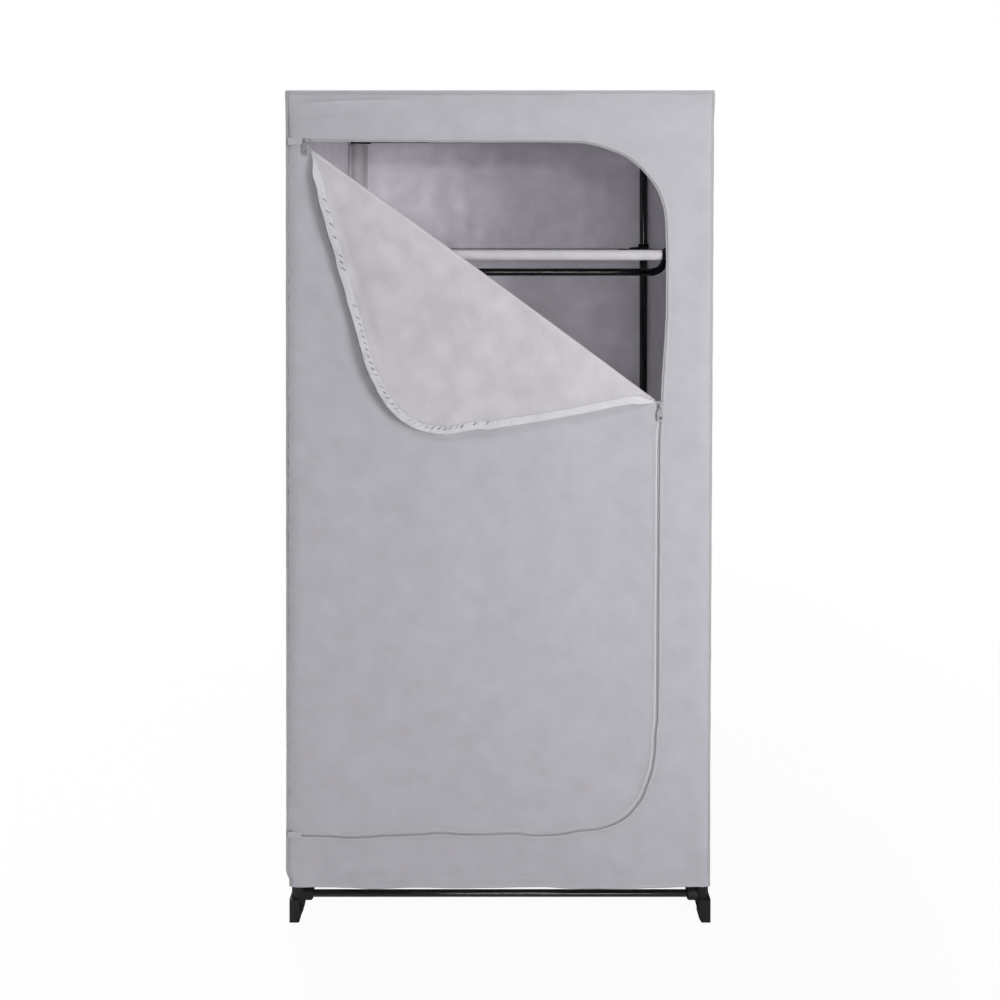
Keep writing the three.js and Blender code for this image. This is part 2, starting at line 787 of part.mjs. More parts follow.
// Pull: a bar and an eye at its upper end, a flat grip and a round hole; its origin is the bar's middle
function pull() {
  const eye = pullEyeWidth / 2;
  const neck = eye + pullEyeWall;
  const wide = pullWidth / 2;
  const bar = pullBar / 2;
  const neckEnd = -bar - pullEyeLength;
  const outline = new THREE.Shape();
  outline.moveTo(-neck, bar);
  outline.lineTo(-neck, neckEnd - bar);
  outline.quadraticCurveTo(-neck, -pullShoulder, -wide, -pullShoulder);
  outline.absarc(0, -pullLength + wide, wide, Math.PI, Math.PI * 2);
  outline.lineTo(wide, -pullShoulder);
  outline.quadraticCurveTo(neck, -pullShoulder, neck, neckEnd - bar);
  outline.lineTo(neck, bar);
  const eyeHole = [point(-eye, -bar), point(eye, -bar), point(eye, neckEnd), point(-eye, neckEnd)];
  outline.holes.push(new THREE.Path(eyeHole));
  const grip = arc(0, -pullGripPlace, pullGripDiameter / 2, 0, Math.PI * 2, tubeSides).slice(1);
  outline.holes.push(new THREE.Path(grip));
  return sheet(outline, -pullThickness / 2, pullThickness);
}

const sliderShape = slider();
const pullShape = pull();
const sliderY = frontFace - clearance;
const bailY = sliderY - sliderPlate - bailStandOff;
add(wardrobe, "side_slider", sliderShape, sliderGrey, zipRight, sliderY, sideSliderHeight);
add(wardrobe, "side_pull", pullShape, sliderGrey, zipRight, bailY, sideSliderHeight);
const topSlider = add(wardrobe, "top_slider", sliderShape, sliderGrey, topSliderX, sliderY, zipTop);
topSlider.rotation.y = -quarterTurn;

// The top pull hangs face-on from the bail's left leg
const legX = topSliderX - bailRadius - bailThickness / 2;
const hang = bailWidth / 2 + topPullGap + pullBar / 2;
add(wardrobe, "top_pull", pullShape, sliderGrey, legX, bailY, zipTop + hang);

// The origin is on the floor, under the middle of the whole
wardrobe.updateMatrixWorld(true);
const bounds = new THREE.Box3().setFromObject(wardrobe, true);
const middle = bounds.getCenter(new THREE.Vector3());
wardrobe.position.set(-middle.x, -middle.y, -bounds.min.z);
wardrobe.updateMatrixWorld(true);

export default wardrobe;
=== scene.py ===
"""Portable fabric wardrobe: cloth cover, folded door corner, zips, tubes and moulded fittings."""

import math

import bpy
import numpy as np
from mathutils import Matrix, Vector


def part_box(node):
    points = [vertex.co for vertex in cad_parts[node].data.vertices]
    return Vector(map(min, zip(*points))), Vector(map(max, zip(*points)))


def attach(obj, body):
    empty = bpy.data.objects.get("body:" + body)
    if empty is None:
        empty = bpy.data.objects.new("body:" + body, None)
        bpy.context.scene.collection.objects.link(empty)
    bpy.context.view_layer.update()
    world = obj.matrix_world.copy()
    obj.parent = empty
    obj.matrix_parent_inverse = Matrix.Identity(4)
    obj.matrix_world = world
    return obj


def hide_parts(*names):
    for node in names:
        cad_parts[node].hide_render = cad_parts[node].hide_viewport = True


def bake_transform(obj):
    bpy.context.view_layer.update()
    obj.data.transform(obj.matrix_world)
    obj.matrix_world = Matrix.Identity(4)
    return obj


bl_info = {
    "name": "Portable fabric wardrobe",
    "version": (1, 0, 0),
    "blender": (4, 5, 0),
    "location": "View3D > Sidebar > Wardrobe",
    "description": "Builds the looks of a portable fabric wardrobe round its frame",
    "category": "Object",
}

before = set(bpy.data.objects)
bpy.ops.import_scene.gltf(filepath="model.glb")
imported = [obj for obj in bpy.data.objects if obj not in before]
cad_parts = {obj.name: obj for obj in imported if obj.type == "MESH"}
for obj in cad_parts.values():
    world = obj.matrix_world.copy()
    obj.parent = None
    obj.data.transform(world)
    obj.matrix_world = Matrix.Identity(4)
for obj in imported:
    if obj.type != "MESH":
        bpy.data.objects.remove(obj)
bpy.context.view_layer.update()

MM = 0.001
SEED = 7


def low(node):
    """Lowest corner of a node, in millimetres."""
    return np.array(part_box(node)[0]) / MM


def high(node):
    """Highest corner of a node, in millimetres."""
    return np.array(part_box(node)[1]) / MM


# Planes and edges of the cover, in millimetres
FRONT = low("cover_front")[1]
BACK = high("cover_back")[1]
SIDE = high("cover_right")[0]
TOP = high("cover_top")[2]
# The hem is sewn a little above the flat pattern's edge, and folded up inside by its depth
HEM = low("cover_front")[2] + 2.4
HEM_DEPTH = 17
PANEL_TOP = high("cover_front")[2]
PANEL_HALF = high("cover_front")[0]
CLOTH = 1.0
# From a panel's outer plane to the middle of its cloth
MIDDLE = 0.6
# Where the cover's upright corners hang, and how far the rear posts let the cloth move sideways
CORNER_X = 380.0
REAR_LIMIT = 4.0
NO_LIMIT = 99.0

# The zip's line and the door's fold, as in the model's source
ZIP_TOP, ZIP_BOTTOM, ZIP_RIGHT, ZIP_LEFT = 1399.0, 164.0, 285.0, -372.3
ZIP_CORNER = 150.0
TURN_X = ZIP_RIGHT - ZIP_CORNER
TURN_LOW, TURN_HIGH = ZIP_BOTTOM + ZIP_CORNER, ZIP_TOP - ZIP_CORNER
# From the zip's line to the cloth's edge, and along it to the side slider
CLOTH_EDGE = 3.4
CLOSED_RUN = 1345
FOLD_START = np.array([-357.0, 1399.0])
FOLD_END = np.array([285.0, 932.0])
FOLD_RADIUS = 5.0
FOLD_TURN = math.radians(174.5)
FOLD_LENGTH = float(np.linalg.norm(FOLD_END - FOLD_START))
FOLD_ALONG = (FOLD_END - FOLD_START) / FOLD_LENGTH
FOLD_ACROSS = np.array([-FOLD_ALONG[1], FOLD_ALONG[0]])
FOLD_ORIGIN = FOLD_START - FOLD_ACROSS * (FOLD_RADIUS + MIDDLE)
ROLL = FOLD_RADIUS * FOLD_TURN
FLAP_CORNER = 125.0
FLAP_SLANT = math.radians(7)
FLAP_SIDE = 278.0
FLAP_Z = ZIP_TOP - FLAP_CORNER
FLAP_X = FLAP_SIDE - (FLAP_CORNER + (FLAP_Z - FOLD_END[1]) * math.sin(FLAP_SLANT)) / math.cos(FLAP_SLANT)
# Where the cloth and the tape end at the top slider, and where the lower tape ends at the side slider
CLOTH_START, TAPE_START = -334.5, -335.5
TAPE_TURN, TAPE_FOOT = 912, 954
# The lower cloth is cut on a slant beside the side slider: a place on the cut, and the way outward
CUT_X, CUT_Z, CUT_WAY_X, CUT_WAY_Z = 281.6, 919, 0.8915, 0.4532

# How far the zip's line lies inward of its pattern as the cover hangs, by distance from its lower left end
ZIP_STRAY = [
    (0, -2), (35, -3), (70, -3.8), (101, -6.8), (135, -5), (170, -2.3), (230, -1), (265, 2.4), (301, -0.5),
    (340, -0.9), (390, 0.9), (444, -2.7), (479, -0.9), (515, 6.5), (552, 4.4), (572, 1.8), (601, 1), (640, 4.4),
    (679, 10.5), (717, 11.6), (760, 10.4), (802, 6.4), (845, 5.8), (888, 5.6), (931, 5.2), (974, 5.1), (1017, 4.8),
    (1059, 4.6), (1102, 4.1), (1188, 3.7), (1273, 3.2), (1316, 2.2), (1345, 0), (1372, -2.6), (1400, -3.6),
    (1440, -6), (1480, -9), (1530, -11), (1580, -11.2), (1634, -11.6), (1662, -10.4), (1691, -10), (1713, -9),
    (1741, -8), (1772, -4.2), (1811, -1.6), (1852, 3.2), (1887, 3.6), (1923, 2.6), (1990, 2.2), (2060, 2.4),
    (2140, 2.2), (2210, 1.6), (2275, 1.2), (2330, 0.8), (2390, 0), (2421, 0),
]
# How far the folded corner's edge hangs outside its pattern, by distance along it from the top slider
FLAP_SPREAD = [
    (0, 0), (80, -2), (138, 2.6), (194, 5.6), (266, 9.8), (323, 12.8), (350, 13.8), (385, 14.5), (403, 14.7),
    (425, 15.6), (463, 11.4), (491, 7.6), (515, 5.6), (552, 4), (576, 1.4), (600, -3.6), (656, -6.4), (716, -2),
    (768, -0.3), (831, -0.2), (930, -0.5),
]
# Creases in the front and in the back: both ends, width and height
FRONT_CREASES = [
    ((-384, 1474), (-150, 1479), 5, -4.4), ((-384, 1455), (-130, 1476), 8, 3.8),
    ((-376, 1441), (-190, 1466), 8, -2.6), ((-372, 1402), (-290, 1442), 14, 2.2),
    ((290, 1484), (380, 1446), 8, 1.4), ((230, 1470), (376, 1478), 5, -1.2),
    ((-346, 66), (-296, 156), 16, -3.6), ((-376, 80), (-170, 112), 14, 3.0),
]
BACK_CREASES = [((-95, 1380), (-130, 1240), 7, -2.0), ((60, 1300), (10, 1130), 9, 1.6)]


# Settings


class WardrobeCloth(bpy.types.PropertyGroup):
    outer: bpy.props.StringProperty(
        name="Outer face", description="Colour of the cover's outer face, as sRGB hex", default="c6c4ca")
    inner: bpy.props.StringProperty(
        name="Inner face", description="Colour of the cover's inner face, as sRGB hex", default="d3d0d5")
    seam: bpy.props.StringProperty(
        name="Seam tape", description="Colour of the tape bound round the seams, as sRGB hex", default="9b9c9d")
    zip_tape: bpy.props.StringProperty(
        name="Zip tape", description="Colour of the zip's woven tape, as sRGB hex", default="bebcc0")
    # The coil's colour is darker than its tape as painted shade of the closed zip's groove; the open rows take the
    # tape's colour.
    coil: bpy.props.StringProperty(
        name="Zip coil", description="Colour of the zip's nylon coil, as sRGB hex", default="a3a0a4")
    relief: bpy.props.FloatProperty(
        name="Slackness", description="Depth of the cloth's soft waves, as a share of the real cover's",
        default=1.0, min=0.0, max=2.0, subtype="FACTOR")


class WardrobeFrame(bpy.types.PropertyGroup):
    steel: bpy.props.StringProperty(
        name="Painted steel", description="Colour of the tubes' paint, as sRGB hex", default="0c0c0d")
    mould: bpy.props.StringProperty(
        name="Moulded plastic", description="Colour of the feet and connectors, as sRGB hex", default="1b1b1d")
    slider: bpy.props.StringProperty(
        name="Zip slider", description="Colour of the sliders and pulls, as sRGB hex", default="949295")
    tube_sides: bpy.props.IntProperty(
        name="Tube sides", description="Number of faces round a tube", default=40, min=12, max=96)
    tooth_pitch: bpy.props.FloatProperty(
        name="Tooth pitch", description="Distance from one tooth of the coil to the next",
        default=0.0018, min=0.001, max=0.01, unit="LENGTH")


def slackness():
    """The slackness that is set for the cloth."""
    return bpy.context.scene.wardrobe_cloth.relief


# Materials


def linear(hex_colour):
    """The one place where an sRGB hex colour turns to linear values."""
    parts = [int(hex_colour[i : i + 2], 16) / 255 for i in (0, 2, 4)]
    return tuple(c / 12.92 if c <= 0.04045 else ((c + 0.055) / 1.055) ** 2.4 for c in parts) + (1.0,)


def adjust(made, **settings):
    """Sets several settings of one thing."""
    for name, value in settings.items():
        setattr(made, name, value)
    return made


def add_node(tree, kind, inputs=None, **settings):
    """Adds one node: sockets in inputs take a value or a link, and settings are the node's own."""
    made = adjust(tree.nodes.new(kind), **settings)
    for name, value in (inputs or {}).items():
        socket = made.inputs[name]
        if isinstance(value, bpy.types.NodeSocket):
            tree.links.new(value, socket)
        else:
            socket.default_value = value
    return made


def new_material(name, coordinates):
    """An empty material, its node tree, and the kind of coordinates that it is drawn by."""
    material = bpy.data.materials.new(name)
    material.use_nodes = True
    tree = material.node_tree
    tree.nodes.clear()
    return material, tree, add_node(tree, "ShaderNodeTexCoord").outputs[coordinates]


def noise(tree, vector, scale, detail, **inputs):
    """Soft random patches, with scale in patches to the metre."""
    inputs = {"Vector": vector, "Scale": scale, "Detail": detail, **inputs}
    return add_node(tree, "ShaderNodeTexNoise", inputs).outputs["Fac"]


def remap(tree, value, **ends):
    """A value moved to another range: from_min, from_max, to_min and to_max where they aren't 0 and 1."""
    ends = {name.replace("_", " ").title(): end for name, end in ends.items()}
    return add_node(tree, "ShaderNodeMapRange", {"Value": value, **ends}).outputs["Result"]


def bump(tree, height, strength, distance=0.0002, **below):
    """Fine relief, over the Normal of the relief below it."""
    inputs = {"Height": height, "Strength": strength, "Distance": distance, **below}
    return add_node(tree, "ShaderNodeBump", inputs).outputs["Normal"]


def mottled(tree, vector, colour, scale, spread, detail=4.0):
    """A colour that drifts a little lighter and darker."""
    ramp = add_node(tree, "ShaderNodeValToRGB", {"Fac": noise(tree, vector, scale, detail, Roughness=0.6)})
    base = np.array(linear(colour))[:3]
    for element, position, share in zip(ramp.color_ramp.elements, (0.3, 0.7), (1 - spread, 1 + spread)):
        element.position = position
        element.color = tuple(np.append(np.minimum(base * share, 1), 1))
    return ramp.outputs["Color"]


def finish_surface(tree, colour, roughness, ior, level, glow=0.0, **more):
    """Ends a material: glow is the share of the light that passes through a thin cloth."""
    inputs = {"Base Color": colour, "Roughness": roughness, "IOR": ior, "Specular IOR Level": level}
    inputs.update({name.replace("_", " "): value for name, value in more.items()})
    surface = add_node(tree, "ShaderNodeBsdfPrincipled", inputs).outputs["BSDF"]
    if glow:
        sides = {"Color": colour, "Normal": more["Normal"]}
        through = add_node(tree, "ShaderNodeBsdfTranslucent", sides).outputs["BSDF"]
        surface = add_node(tree, "ShaderNodeMixShader", {0: glow, 1: surface, 2: through}).outputs["Shader"]
    add_node(tree, "ShaderNodeOutputMaterial", {"Surface": surface})


def spunbond_cloth(name, colour, cloud=0.04):
    """Spunbond polypropylene: bonded fibres with no weave, dull and faintly cloudy, with a fine embossed grid."""
    material, tree, flat = new_material(name, "UV")
    cloudy = mottled(tree, flat, colour, 22.0, cloud, 6.0)
    # Bond points are 1 mm apart on the real cloth, and are drawn 2.5 mm apart so that they show
    bonds = add_node(tree, "ShaderNodeTexVoronoi", {"Vector": flat, "Scale": 400.0, "Randomness": 0.15})
    points = remap(tree, bonds.outputs["Distance"], from_min=0.12, from_max=0.34)
    fibres = noise(tree, flat, 900.0, 3.0, Distortion=1.2)
    creases = noise(tree, flat, 14.0, 5.0, Roughness=0.55, Distortion=0.6)
    relief = bump(tree, fibres, 0.12, Normal=bump(tree, points, 0.12))
    relief = bump(tree, creases, 0.5, 0.003, Normal=relief)
    worn = remap(tree, fibres, to_min=0.72, to_max=0.9)
    finish_surface(tree, cloudy, worn, 1.49, 0.3, 0.36, Normal=relief, Sheen_Weight=0.08, Sheen_Roughness=0.5)
    return material


def woven_tape(name, colour, ribs):
    """Woven polyester tape: cross threads make small ribs, and the thread gives a soft sheen."""
    material, tree, flat = new_material(name, "UV")
    wave = {"Vector": flat, "Scale": ribs, "Distortion": 0.4, "Detail": 1.0}
    threads, across = (
        add_node(tree, "ShaderNodeTexWave", wave, bands_direction=way).outputs["Fac"] for way in "XY")
    weave = add_node(tree, "ShaderNodeMath", {0: threads, 1: across}, operation="MULTIPLY").outputs["Value"]
    tinted = mottled(tree, flat, colour, 160.0, 0.04)
    finish_surface(tree, tinted, 0.78, 1.55, 0.35, Normal=bump(tree, weave, 0.35, 0.0003), Sheen_Weight=0.12)
    return material


def nylon(name, colour, roughness):
    """Extruded nylon monofilament or spun thread: smooth, a little glossy, slightly clear."""
    material, tree, spot = new_material(name, "Object")
    finish_surface(tree, mottled(tree, spot, colour, 400.0, 0.06), roughness, 1.53, 0.5)
    return material


def powder_coated_steel(name, colour):
    """Powder-coated steel tube: semi-gloss black with a faint orange-peel skin."""
    material, tree, spot = new_material(name, "Object")
    # Orange peel about 1.5 mm across
    peel = noise(tree, spot, 650.0, 2.0)
    tinted, skin = mottled(tree, spot, colour, 30.0, 0.1), bump(tree, peel, 0.03)
    finish_surface(tree, tinted, remap(tree, peel, to_min=0.1, to_max=0.15), 1.5, 0.6, Normal=skin)
    return material


def moulded_polypropylene(name, colour):
    """Injection-moulded polypropylene: matte black with a fine spark-eroded texture and faint flow marks."""
    material, tree, spot = new_material(name, "Object")
    # Spark-eroded grain about 0.6 mm, drawn 1.2 mm so that it shows
    grain = noise(tree, spot, 830.0, 3.0)
    flow, texture = mottled(tree, spot, colour, 45.0, 0.14), bump(tree, grain, 0.3)
    finish_surface(tree, flow, remap(tree, grain, to_min=0.5, to_max=0.66), 1.49, 0.2, Normal=texture)
    return material


def painted_zinc(name, colour):
    """Die-cast zinc with grey lacquer: a satin metal whose edges are rubbed a little brighter."""
    material, tree, spot = new_material(name, "Object")
    geometry = add_node(tree, "ShaderNodeNewGeometry")
    lacquer = mottled(tree, spot, colour, 500.0, 0.08)
    edges = remap(tree, geometry.outputs["Pointiness"], from_min=0.52, from_max=0.6)
    rubbed = add_node(
        tree, "ShaderNodeMix", {"Factor": edges, "A": lacquer, "B": linear("d0ced0")}, data_type="RGBA")
    finish_surface(tree, rubbed.outputs["Result"], 0.36, 1.5, 0.5, Metallic=0.35)
    return material


finishes = {}


def make_finishes(scene):
    """Makes every finish once, from the colours that are set."""
    cloth, metal = scene.wardrobe_cloth, scene.wardrobe_frame
    finishes["outer"] = spunbond_cloth("spunbond_polypropylene_outer", cloth.outer)
    finishes["inner"] = spunbond_cloth("spunbond_polypropylene_inner", cloth.inner, 0.07)
    finishes["seam"] = woven_tape("woven_polyester_binding", cloth.seam, 260.0)
    finishes["tape"] = woven_tape("woven_polyester_zip_tape", cloth.zip_tape, 330.0)
    # The coil finish is darkened with painted groove shade, and only the closed rows wear it.
    finishes["coil"] = nylon("nylon_coil_painted_groove_shade", cloth.coil, 0.38)
    finishes["thread"] = nylon("spun_polyester_thread", "c6c4c9", 0.6)
    # The dark tacking colour is painted shade: it darkens the bars that stand for the shadowed tucks round the folded
    # corner.
    finishes["tacking"] = nylon("spun_polyester_tacking_thread", "77757a", 0.7)
    finishes["steel"] = powder_coated_steel("powder_coated_steel", metal.steel)
    finishes["mould"] = moulded_polypropylene("moulded_polypropylene", metal.mould)
    finishes["slider"] = painted_zinc("lacquered_zinc", metal.slider)


# Meshes


def piece(name, points, faces, materials, uv=None, smooth=True):
    """A mesh object from points in millimetres, with flat places in metres as its UV."""
    mesh = bpy.data.meshes.new(name)
    mesh.from_pydata((np.asarray(points) * MM).tolist(), [], [list(map(int, f)) for f in faces])
    for material in materials:
        mesh.materials.append(material)
    if uv is not None:
        corners = np.zeros(len(mesh.loops), dtype=np.int32)
        mesh.loops.foreach_get("vertex_index", corners)
        layer = mesh.uv_layers.new(name="flat")
        layer.data.foreach_set("uv", (np.asarray(uv) * MM)[corners].astype(np.float32).ravel())
    mesh.polygons.foreach_set("use_smooth", [smooth] * len(mesh.polygons))
    mesh.update()
    made = bpy.data.objects.new(name, mesh)
    bpy.context.scene.collection.objects.link(made)
    return made


def thicken(made, thickness=CLOTH):
    """Gives a sheet its thickness, with the inner face's finish on its other side."""
    solid = made.modifiers.new("thickness", "SOLIDIFY")
    adjust(solid, thickness=thickness * MM, offset=0, material_offset=1, use_even_offset=False)
    bpy.context.view_layer.update()
    ready = made.evaluated_get(bpy.context.evaluated_depsgraph_get())
    final = bpy.data.meshes.new_from_object(ready)
    made.modifiers.clear()
    made.data = final
    return made


def sheet(name, place, flat, flipped, materials, thickness=CLOTH):
    """A sheet of cloth from grids of its x, y and z and of its two flat directions."""
    count_u, count_v = place[0].shape
    faces = []
    for i in range(count_u - 1):
        for j in range(count_v - 1):
            face = [i * count_v + j, (i + 1) * count_v + j, (i + 1) * count_v + j + 1, i * count_v + j + 1]
            faces.append(face if flipped else face[::-1])
    points, uv = np.stack(place, axis=-1).reshape(-1, 3), np.stack(flat, axis=-1).reshape(-1, 2)
    return thicken(piece(name, points, faces, materials, uv), thickness)


def cut_grid(us, vs, distance):
    """A grid of cells inside an outline, where distance is negative: cells that it crosses are cut along it."""
    u, v = np.meshgrid(us, vs, indexing="ij")
    gap = distance(u, v)
    gap[np.abs(gap) < 0.05] = -0.05
    inside = gap <= 0
    number = np.full(gap.shape, -1)
    number[inside] = np.arange(inside.sum())
    points = list(zip(u[inside], v[inside]))
    crossings = {}

    def crossing(here, there):
        key = (min(here, there), max(here, there))
        if key not in crossings:
            share = gap[here] / (gap[here] - gap[there])
            crossings[key] = len(points)
            points.append((u[here] + share * (u[there] - u[here]), v[here] + share * (v[there] - v[here])))
        return crossings[key]

    faces = []
    cells = (inside[:-1, :-1], inside[1:, :-1], inside[1:, 1:], inside[:-1, 1:])
    whole = np.all(cells, axis=0)
    for i, j in zip(*np.nonzero(whole)):
        faces.append((number[i, j], number[i + 1, j], number[i + 1, j + 1], number[i, j + 1]))
    for i, j in zip(*np.nonzero(np.any(cells, axis=0) & ~whole)):
        ring = [(i, j), (i + 1, j), (i + 1, j + 1), (i, j + 1)]
        face = []
        for here, there in zip(ring, ring[1:] + ring[:1]):
            if inside[here]:
                face.append(number[here])
            if inside[here] != inside[there]:
                face.append(crossing(here, there))
        if len(face) > 2:
            faces.append(face)
    return np.array(points), faces


def steps(start, end, size):
    """Even steps of about a size from start to end."""
    return np.linspace(start, end, max(2, int(round(abs(end - start) / size)) + 1))


def spans(start, *parts):
    """Even steps over one stretch after another, each given by its end and its size."""
    made = []
    for end, size in parts:
        made.append(steps(start, end, size)[:-1])
        start = end
    return np.append(np.concatenate(made), start)


def run_along(path):
    """Distance along a path at each of its points."""
    return np.concatenate([[0], np.cumsum(np.linalg.norm(np.diff(path, axis=0), axis=1))])


def sweep(name, rings, materials, closed=False, uv=None):
    """Joins rings of points, each a closed section, into one body with capped ends."""
    count, around = rings.shape[:2]
    faces = []
    for i in range(count if closed else count - 1):
        k = (i + 1) % count
        for j in range(around):
            m = (j + 1) % around
            faces.append((i * around + j, i * around + m, k * around + m, k * around + j))
    if not closed:
        faces.append(list(range(around))[::-1])
        faces.append([(count - 1) * around + j for j in range(around)])
    return piece(name, rings.reshape(-1, 3), faces, materials, uv)


def grains(name, centres, along, out, size, material):
    """Many small rounded bars, such as stitches or teeth: along and out are unit vectors, size has length, width and height."""
    across = np.cross(out, along)
    length, width, height = (s / 2 for s in size)
    end = [(1, -0.7, 0), (0.75, -0.55, 1), (0.75, 0.55, 1), (1, 0.7, 0), (1, 0, -0.6)]
    corners = []
    for a, c, o in [(-a, c, o) for a, c, o in end] + end:
        corners.append(centres + along * (a * length) + across * (c * width) + out * (o * height))
    points = np.stack(corners, axis=1).reshape(-1, 3)
    shape = [(0, 1, 6, 5), (1, 2, 7, 6), (2, 3, 8, 7), (3, 4, 9, 8), (4, 0, 5, 9), (4, 3, 2, 1, 0), (5, 6, 7, 8, 9)]
    faces = [[10 * i + j for j in face] for i in range(len(centres)) for face in shape]
    return piece(name, points, faces, [material])


def sharpen(made, degrees):
    """Smooth faces, with an edge kept crisp where it turns by more than an angle."""
    limit = math.cos(math.radians(degrees))
    mesh = made.data
    normals = np.array([p.normal for p in mesh.polygons])
    uses = {}
    for polygon in mesh.polygons:
        for key in polygon.edge_keys:
            uses.setdefault(key, []).append(polygon.index)
    sides = [uses.get(e.key, []) for e in mesh.edges]
    crisp = [len(side) == 2 and float(normals[side[0]] @ normals[side[1]]) < limit for side in sides]
    mesh.edges.foreach_set("use_edge_sharp", crisp)


def soften(node, width, finish):
    """Gives a node its finish, and rounds its edges as it is shown."""
    node.data.materials.clear()
    node.data.materials.append(finishes[finish])
    adjust(node.modifiers.new("weld", "WELD"), merge_threshold=0.00001)
    bevel = node.modifiers.new("edges", "BEVEL")
    adjust(bevel, width=width * MM, segments=2, limit_method="ANGLE")
    adjust(bevel, angle_limit=math.radians(34), harden_normals=False)
    node.data.polygons.foreach_set("use_smooth", [True] * len(node.data.polygons))
    adjust(node.modifiers.new("shading", "WEIGHTED_NORMAL"), keep_sharp=True)


def stand_for(nodes):
    """Hides the nodes that a piece stands in for."""
    if nodes:
        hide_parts(*nodes)


def fasten(made, slot, *nodes):
    """Fixes a piece to the frame."""
    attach(made, "frame")
    stand_for(nodes)


def bend_with_corner(made, slot, *nodes):
    """Bakes a piece's placement into its mesh and hides the nodes that it stands in for."""
    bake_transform(made)
    stand_for(nodes)


# Waves and creases in the cloth


def waves(u, v, seed, length):
    """A smooth random field of about unit height, whose waves are about a length apart."""
    rng = np.random.default_rng(SEED + seed)
    total = np.zeros(np.broadcast(u, v).shape)
    for _ in range(14):
        angle = rng.uniform(0, 2 * math.pi)
        pace = 2 * math.pi / (length * rng.uniform(0.7, 1.5))
        total += np.sin((u * math.cos(angle) + v * math.sin(angle)) * pace + rng.uniform(0, 2 * math.pi))
    return total / math.sqrt(7)


def swells(u, v, *kinds):
    """Several such fields added up, each by its height, seed and length."""
    return sum(height * waves(u, v, seed, length) for height, seed, length in kinds)


def crease(u, v, start, end, width, height):
    """A long soft ridge, or a valley by a negative height, that fades at both ends."""
    start, end = np.array(start, float), np.array(end, float)
    line = end - start
    share = ((u - start[0]) * line[0] + (v - start[1]) * line[1]) / (line @ line)
    held = np.clip(share, 0, 1)
    off = np.hypot(u - start[0] - held * line[0], v - start[1] - held * line[1])
    return height * np.exp(-((off / width) ** 2)) * np.sin(math.pi * np.clip(share, 0.001, 0.999)) ** 0.7


def ease(value, start, end):
    """A soft step from 0 at start to 1 at end."""
    share = np.clip((value - start) / (end - start), 0, 1)
    return share * share * (3 - 2 * share)


def curve(at, pairs, width):
    """A smooth curve near a list of places and values."""
    places, values = np.transpose(pairs)
    weight = np.exp(-(((np.asarray(at, float)[..., None] - places) / width) ** 2)) + 1e-9
    return (weight * values).sum(-1) / weight.sum(-1)


def front_relief(x, z):
    """How far the front's cloth stands out from its flat plane, in millimetres."""
    total = swells(x, z, (0.8, 1, 260), (0.45, 2, 95), (0.16, 5, 38)) - 0.6
    for one in FRONT_CREASES:
        total += crease(x, z, *one)
    edge = ease(PANEL_HALF - np.abs(x), 0, 26) * ease(PANEL_TOP - z, 0, 10)
    return slackness() * total * edge - corner_round(x, z)


def corner_round(x, z):
    """How far the front falls back where it turns round the corner posts."""
    near = np.clip((np.abs(x) - PANEL_HALF + 24) / 24, 0, 1)
    return (3.0 + 1.8 * ease(z, 120, 240)) * ease(PANEL_TOP - z, 2, 60) * near**2


def door_relief(x, z):
    """How far the door's cloth stands out: the zip holds its edge flat, and it hangs in faint upright folds."""
    near = np.minimum(ease(ZIP_RIGHT - x, 4, 45), ease(z - ZIP_BOTTOM, 4, 45))
    total = (front_relief(x, z) + corner_round(x, z)) * near
    hanging = ease(np.abs(z - 700), 560, 0)
    total += slackness() * near * hanging * 0.5 * np.sin(x / 38 + 0.8 * np.sin(z / 170))
    return np.clip(total, -4.0, 1.6)


def hang(x, z, limit=NO_LIMIT):
    """Sideways shift of the cover near its corners: it narrows to its hem, and is drawn in over the left foot."""
    narrow_right, narrow_left, at_foot = 8.6, 1.3, 5.6
    drop = np.clip(1 - z / 1480, 0, 1)
    right = -narrow_right * drop * ease(x, 296, 376)
    left = (narrow_left * drop + at_foot * ease(HEM + 27 - z, 0, HEM_DEPTH)) * ease(-x, 340, 378)
    return np.clip(right + left, -limit, limit)


def corner_hang(z, side, limit=NO_LIMIT):
    """The same at an upright corner of the cover."""
    return hang(np.full_like(z, side * CORNER_X), z, limit)


# The door and its zip


def fold_radius(a):
    """The fold's radius: it tightens towards each slider."""
    return FOLD_RADIUS * (0.06 + 0.94 * ease(a, 22, 50) * ease(FOLD_LENGTH - a, 16, 46))


def fold_place(x, z):
    """Distances along the fold and across it of a flat place on the closed door."""
    dx, dz = x - FOLD_ORIGIN[0], z - FOLD_ORIGIN[1]
    return dx * FOLD_ALONG[0] + dz * FOLD_ALONG[1], dx * FOLD_ACROSS[0] + dz * FOLD_ACROSS[1]


def flat_place(a, c):
    """The flat place at a distance along the fold and one across it."""
    return tuple(FOLD_ORIGIN[k] + a * FOLD_ALONG[k] + c * FOLD_ACROSS[k] for k in (0, 1))


def zip_offset(x, z):
    """Distance outside the zip's line, negative inside it."""
    qx = x - TURN_X
    qz = np.maximum(z - TURN_HIGH, TURN_LOW - z)
    rounded = np.where((qx > 0) & (qz > 0), np.hypot(qx, qz), np.maximum(qx, qz))
    return rounded - ZIP_CORNER


def zip_run(x, z):
    """Distance along the zip's line of the place on it nearest to a flat place, and the way inward from there."""
    below = z < (TURN_LOW + TURN_HIGH) / 2
    over = np.maximum(x - TURN_X, 0)
    beyond = np.where(below, np.maximum(TURN_LOW - z, 0), np.maximum(z - TURN_HIGH, 0))
    angle = np.arctan2(over, beyond)
    start = np.minimum(x, TURN_X) - ZIP_LEFT + ZIP_CORNER * angle
    whole = 2 * (TURN_X - ZIP_LEFT) + math.pi * ZIP_CORNER + TURN_HIGH - TURN_LOW
    run = np.where(below, start + np.maximum(z - TURN_LOW, 0), whole - start - np.maximum(TURN_HIGH - z, 0))
    return run, -np.sin(angle), np.where(below, 1, -1) * np.cos(angle)


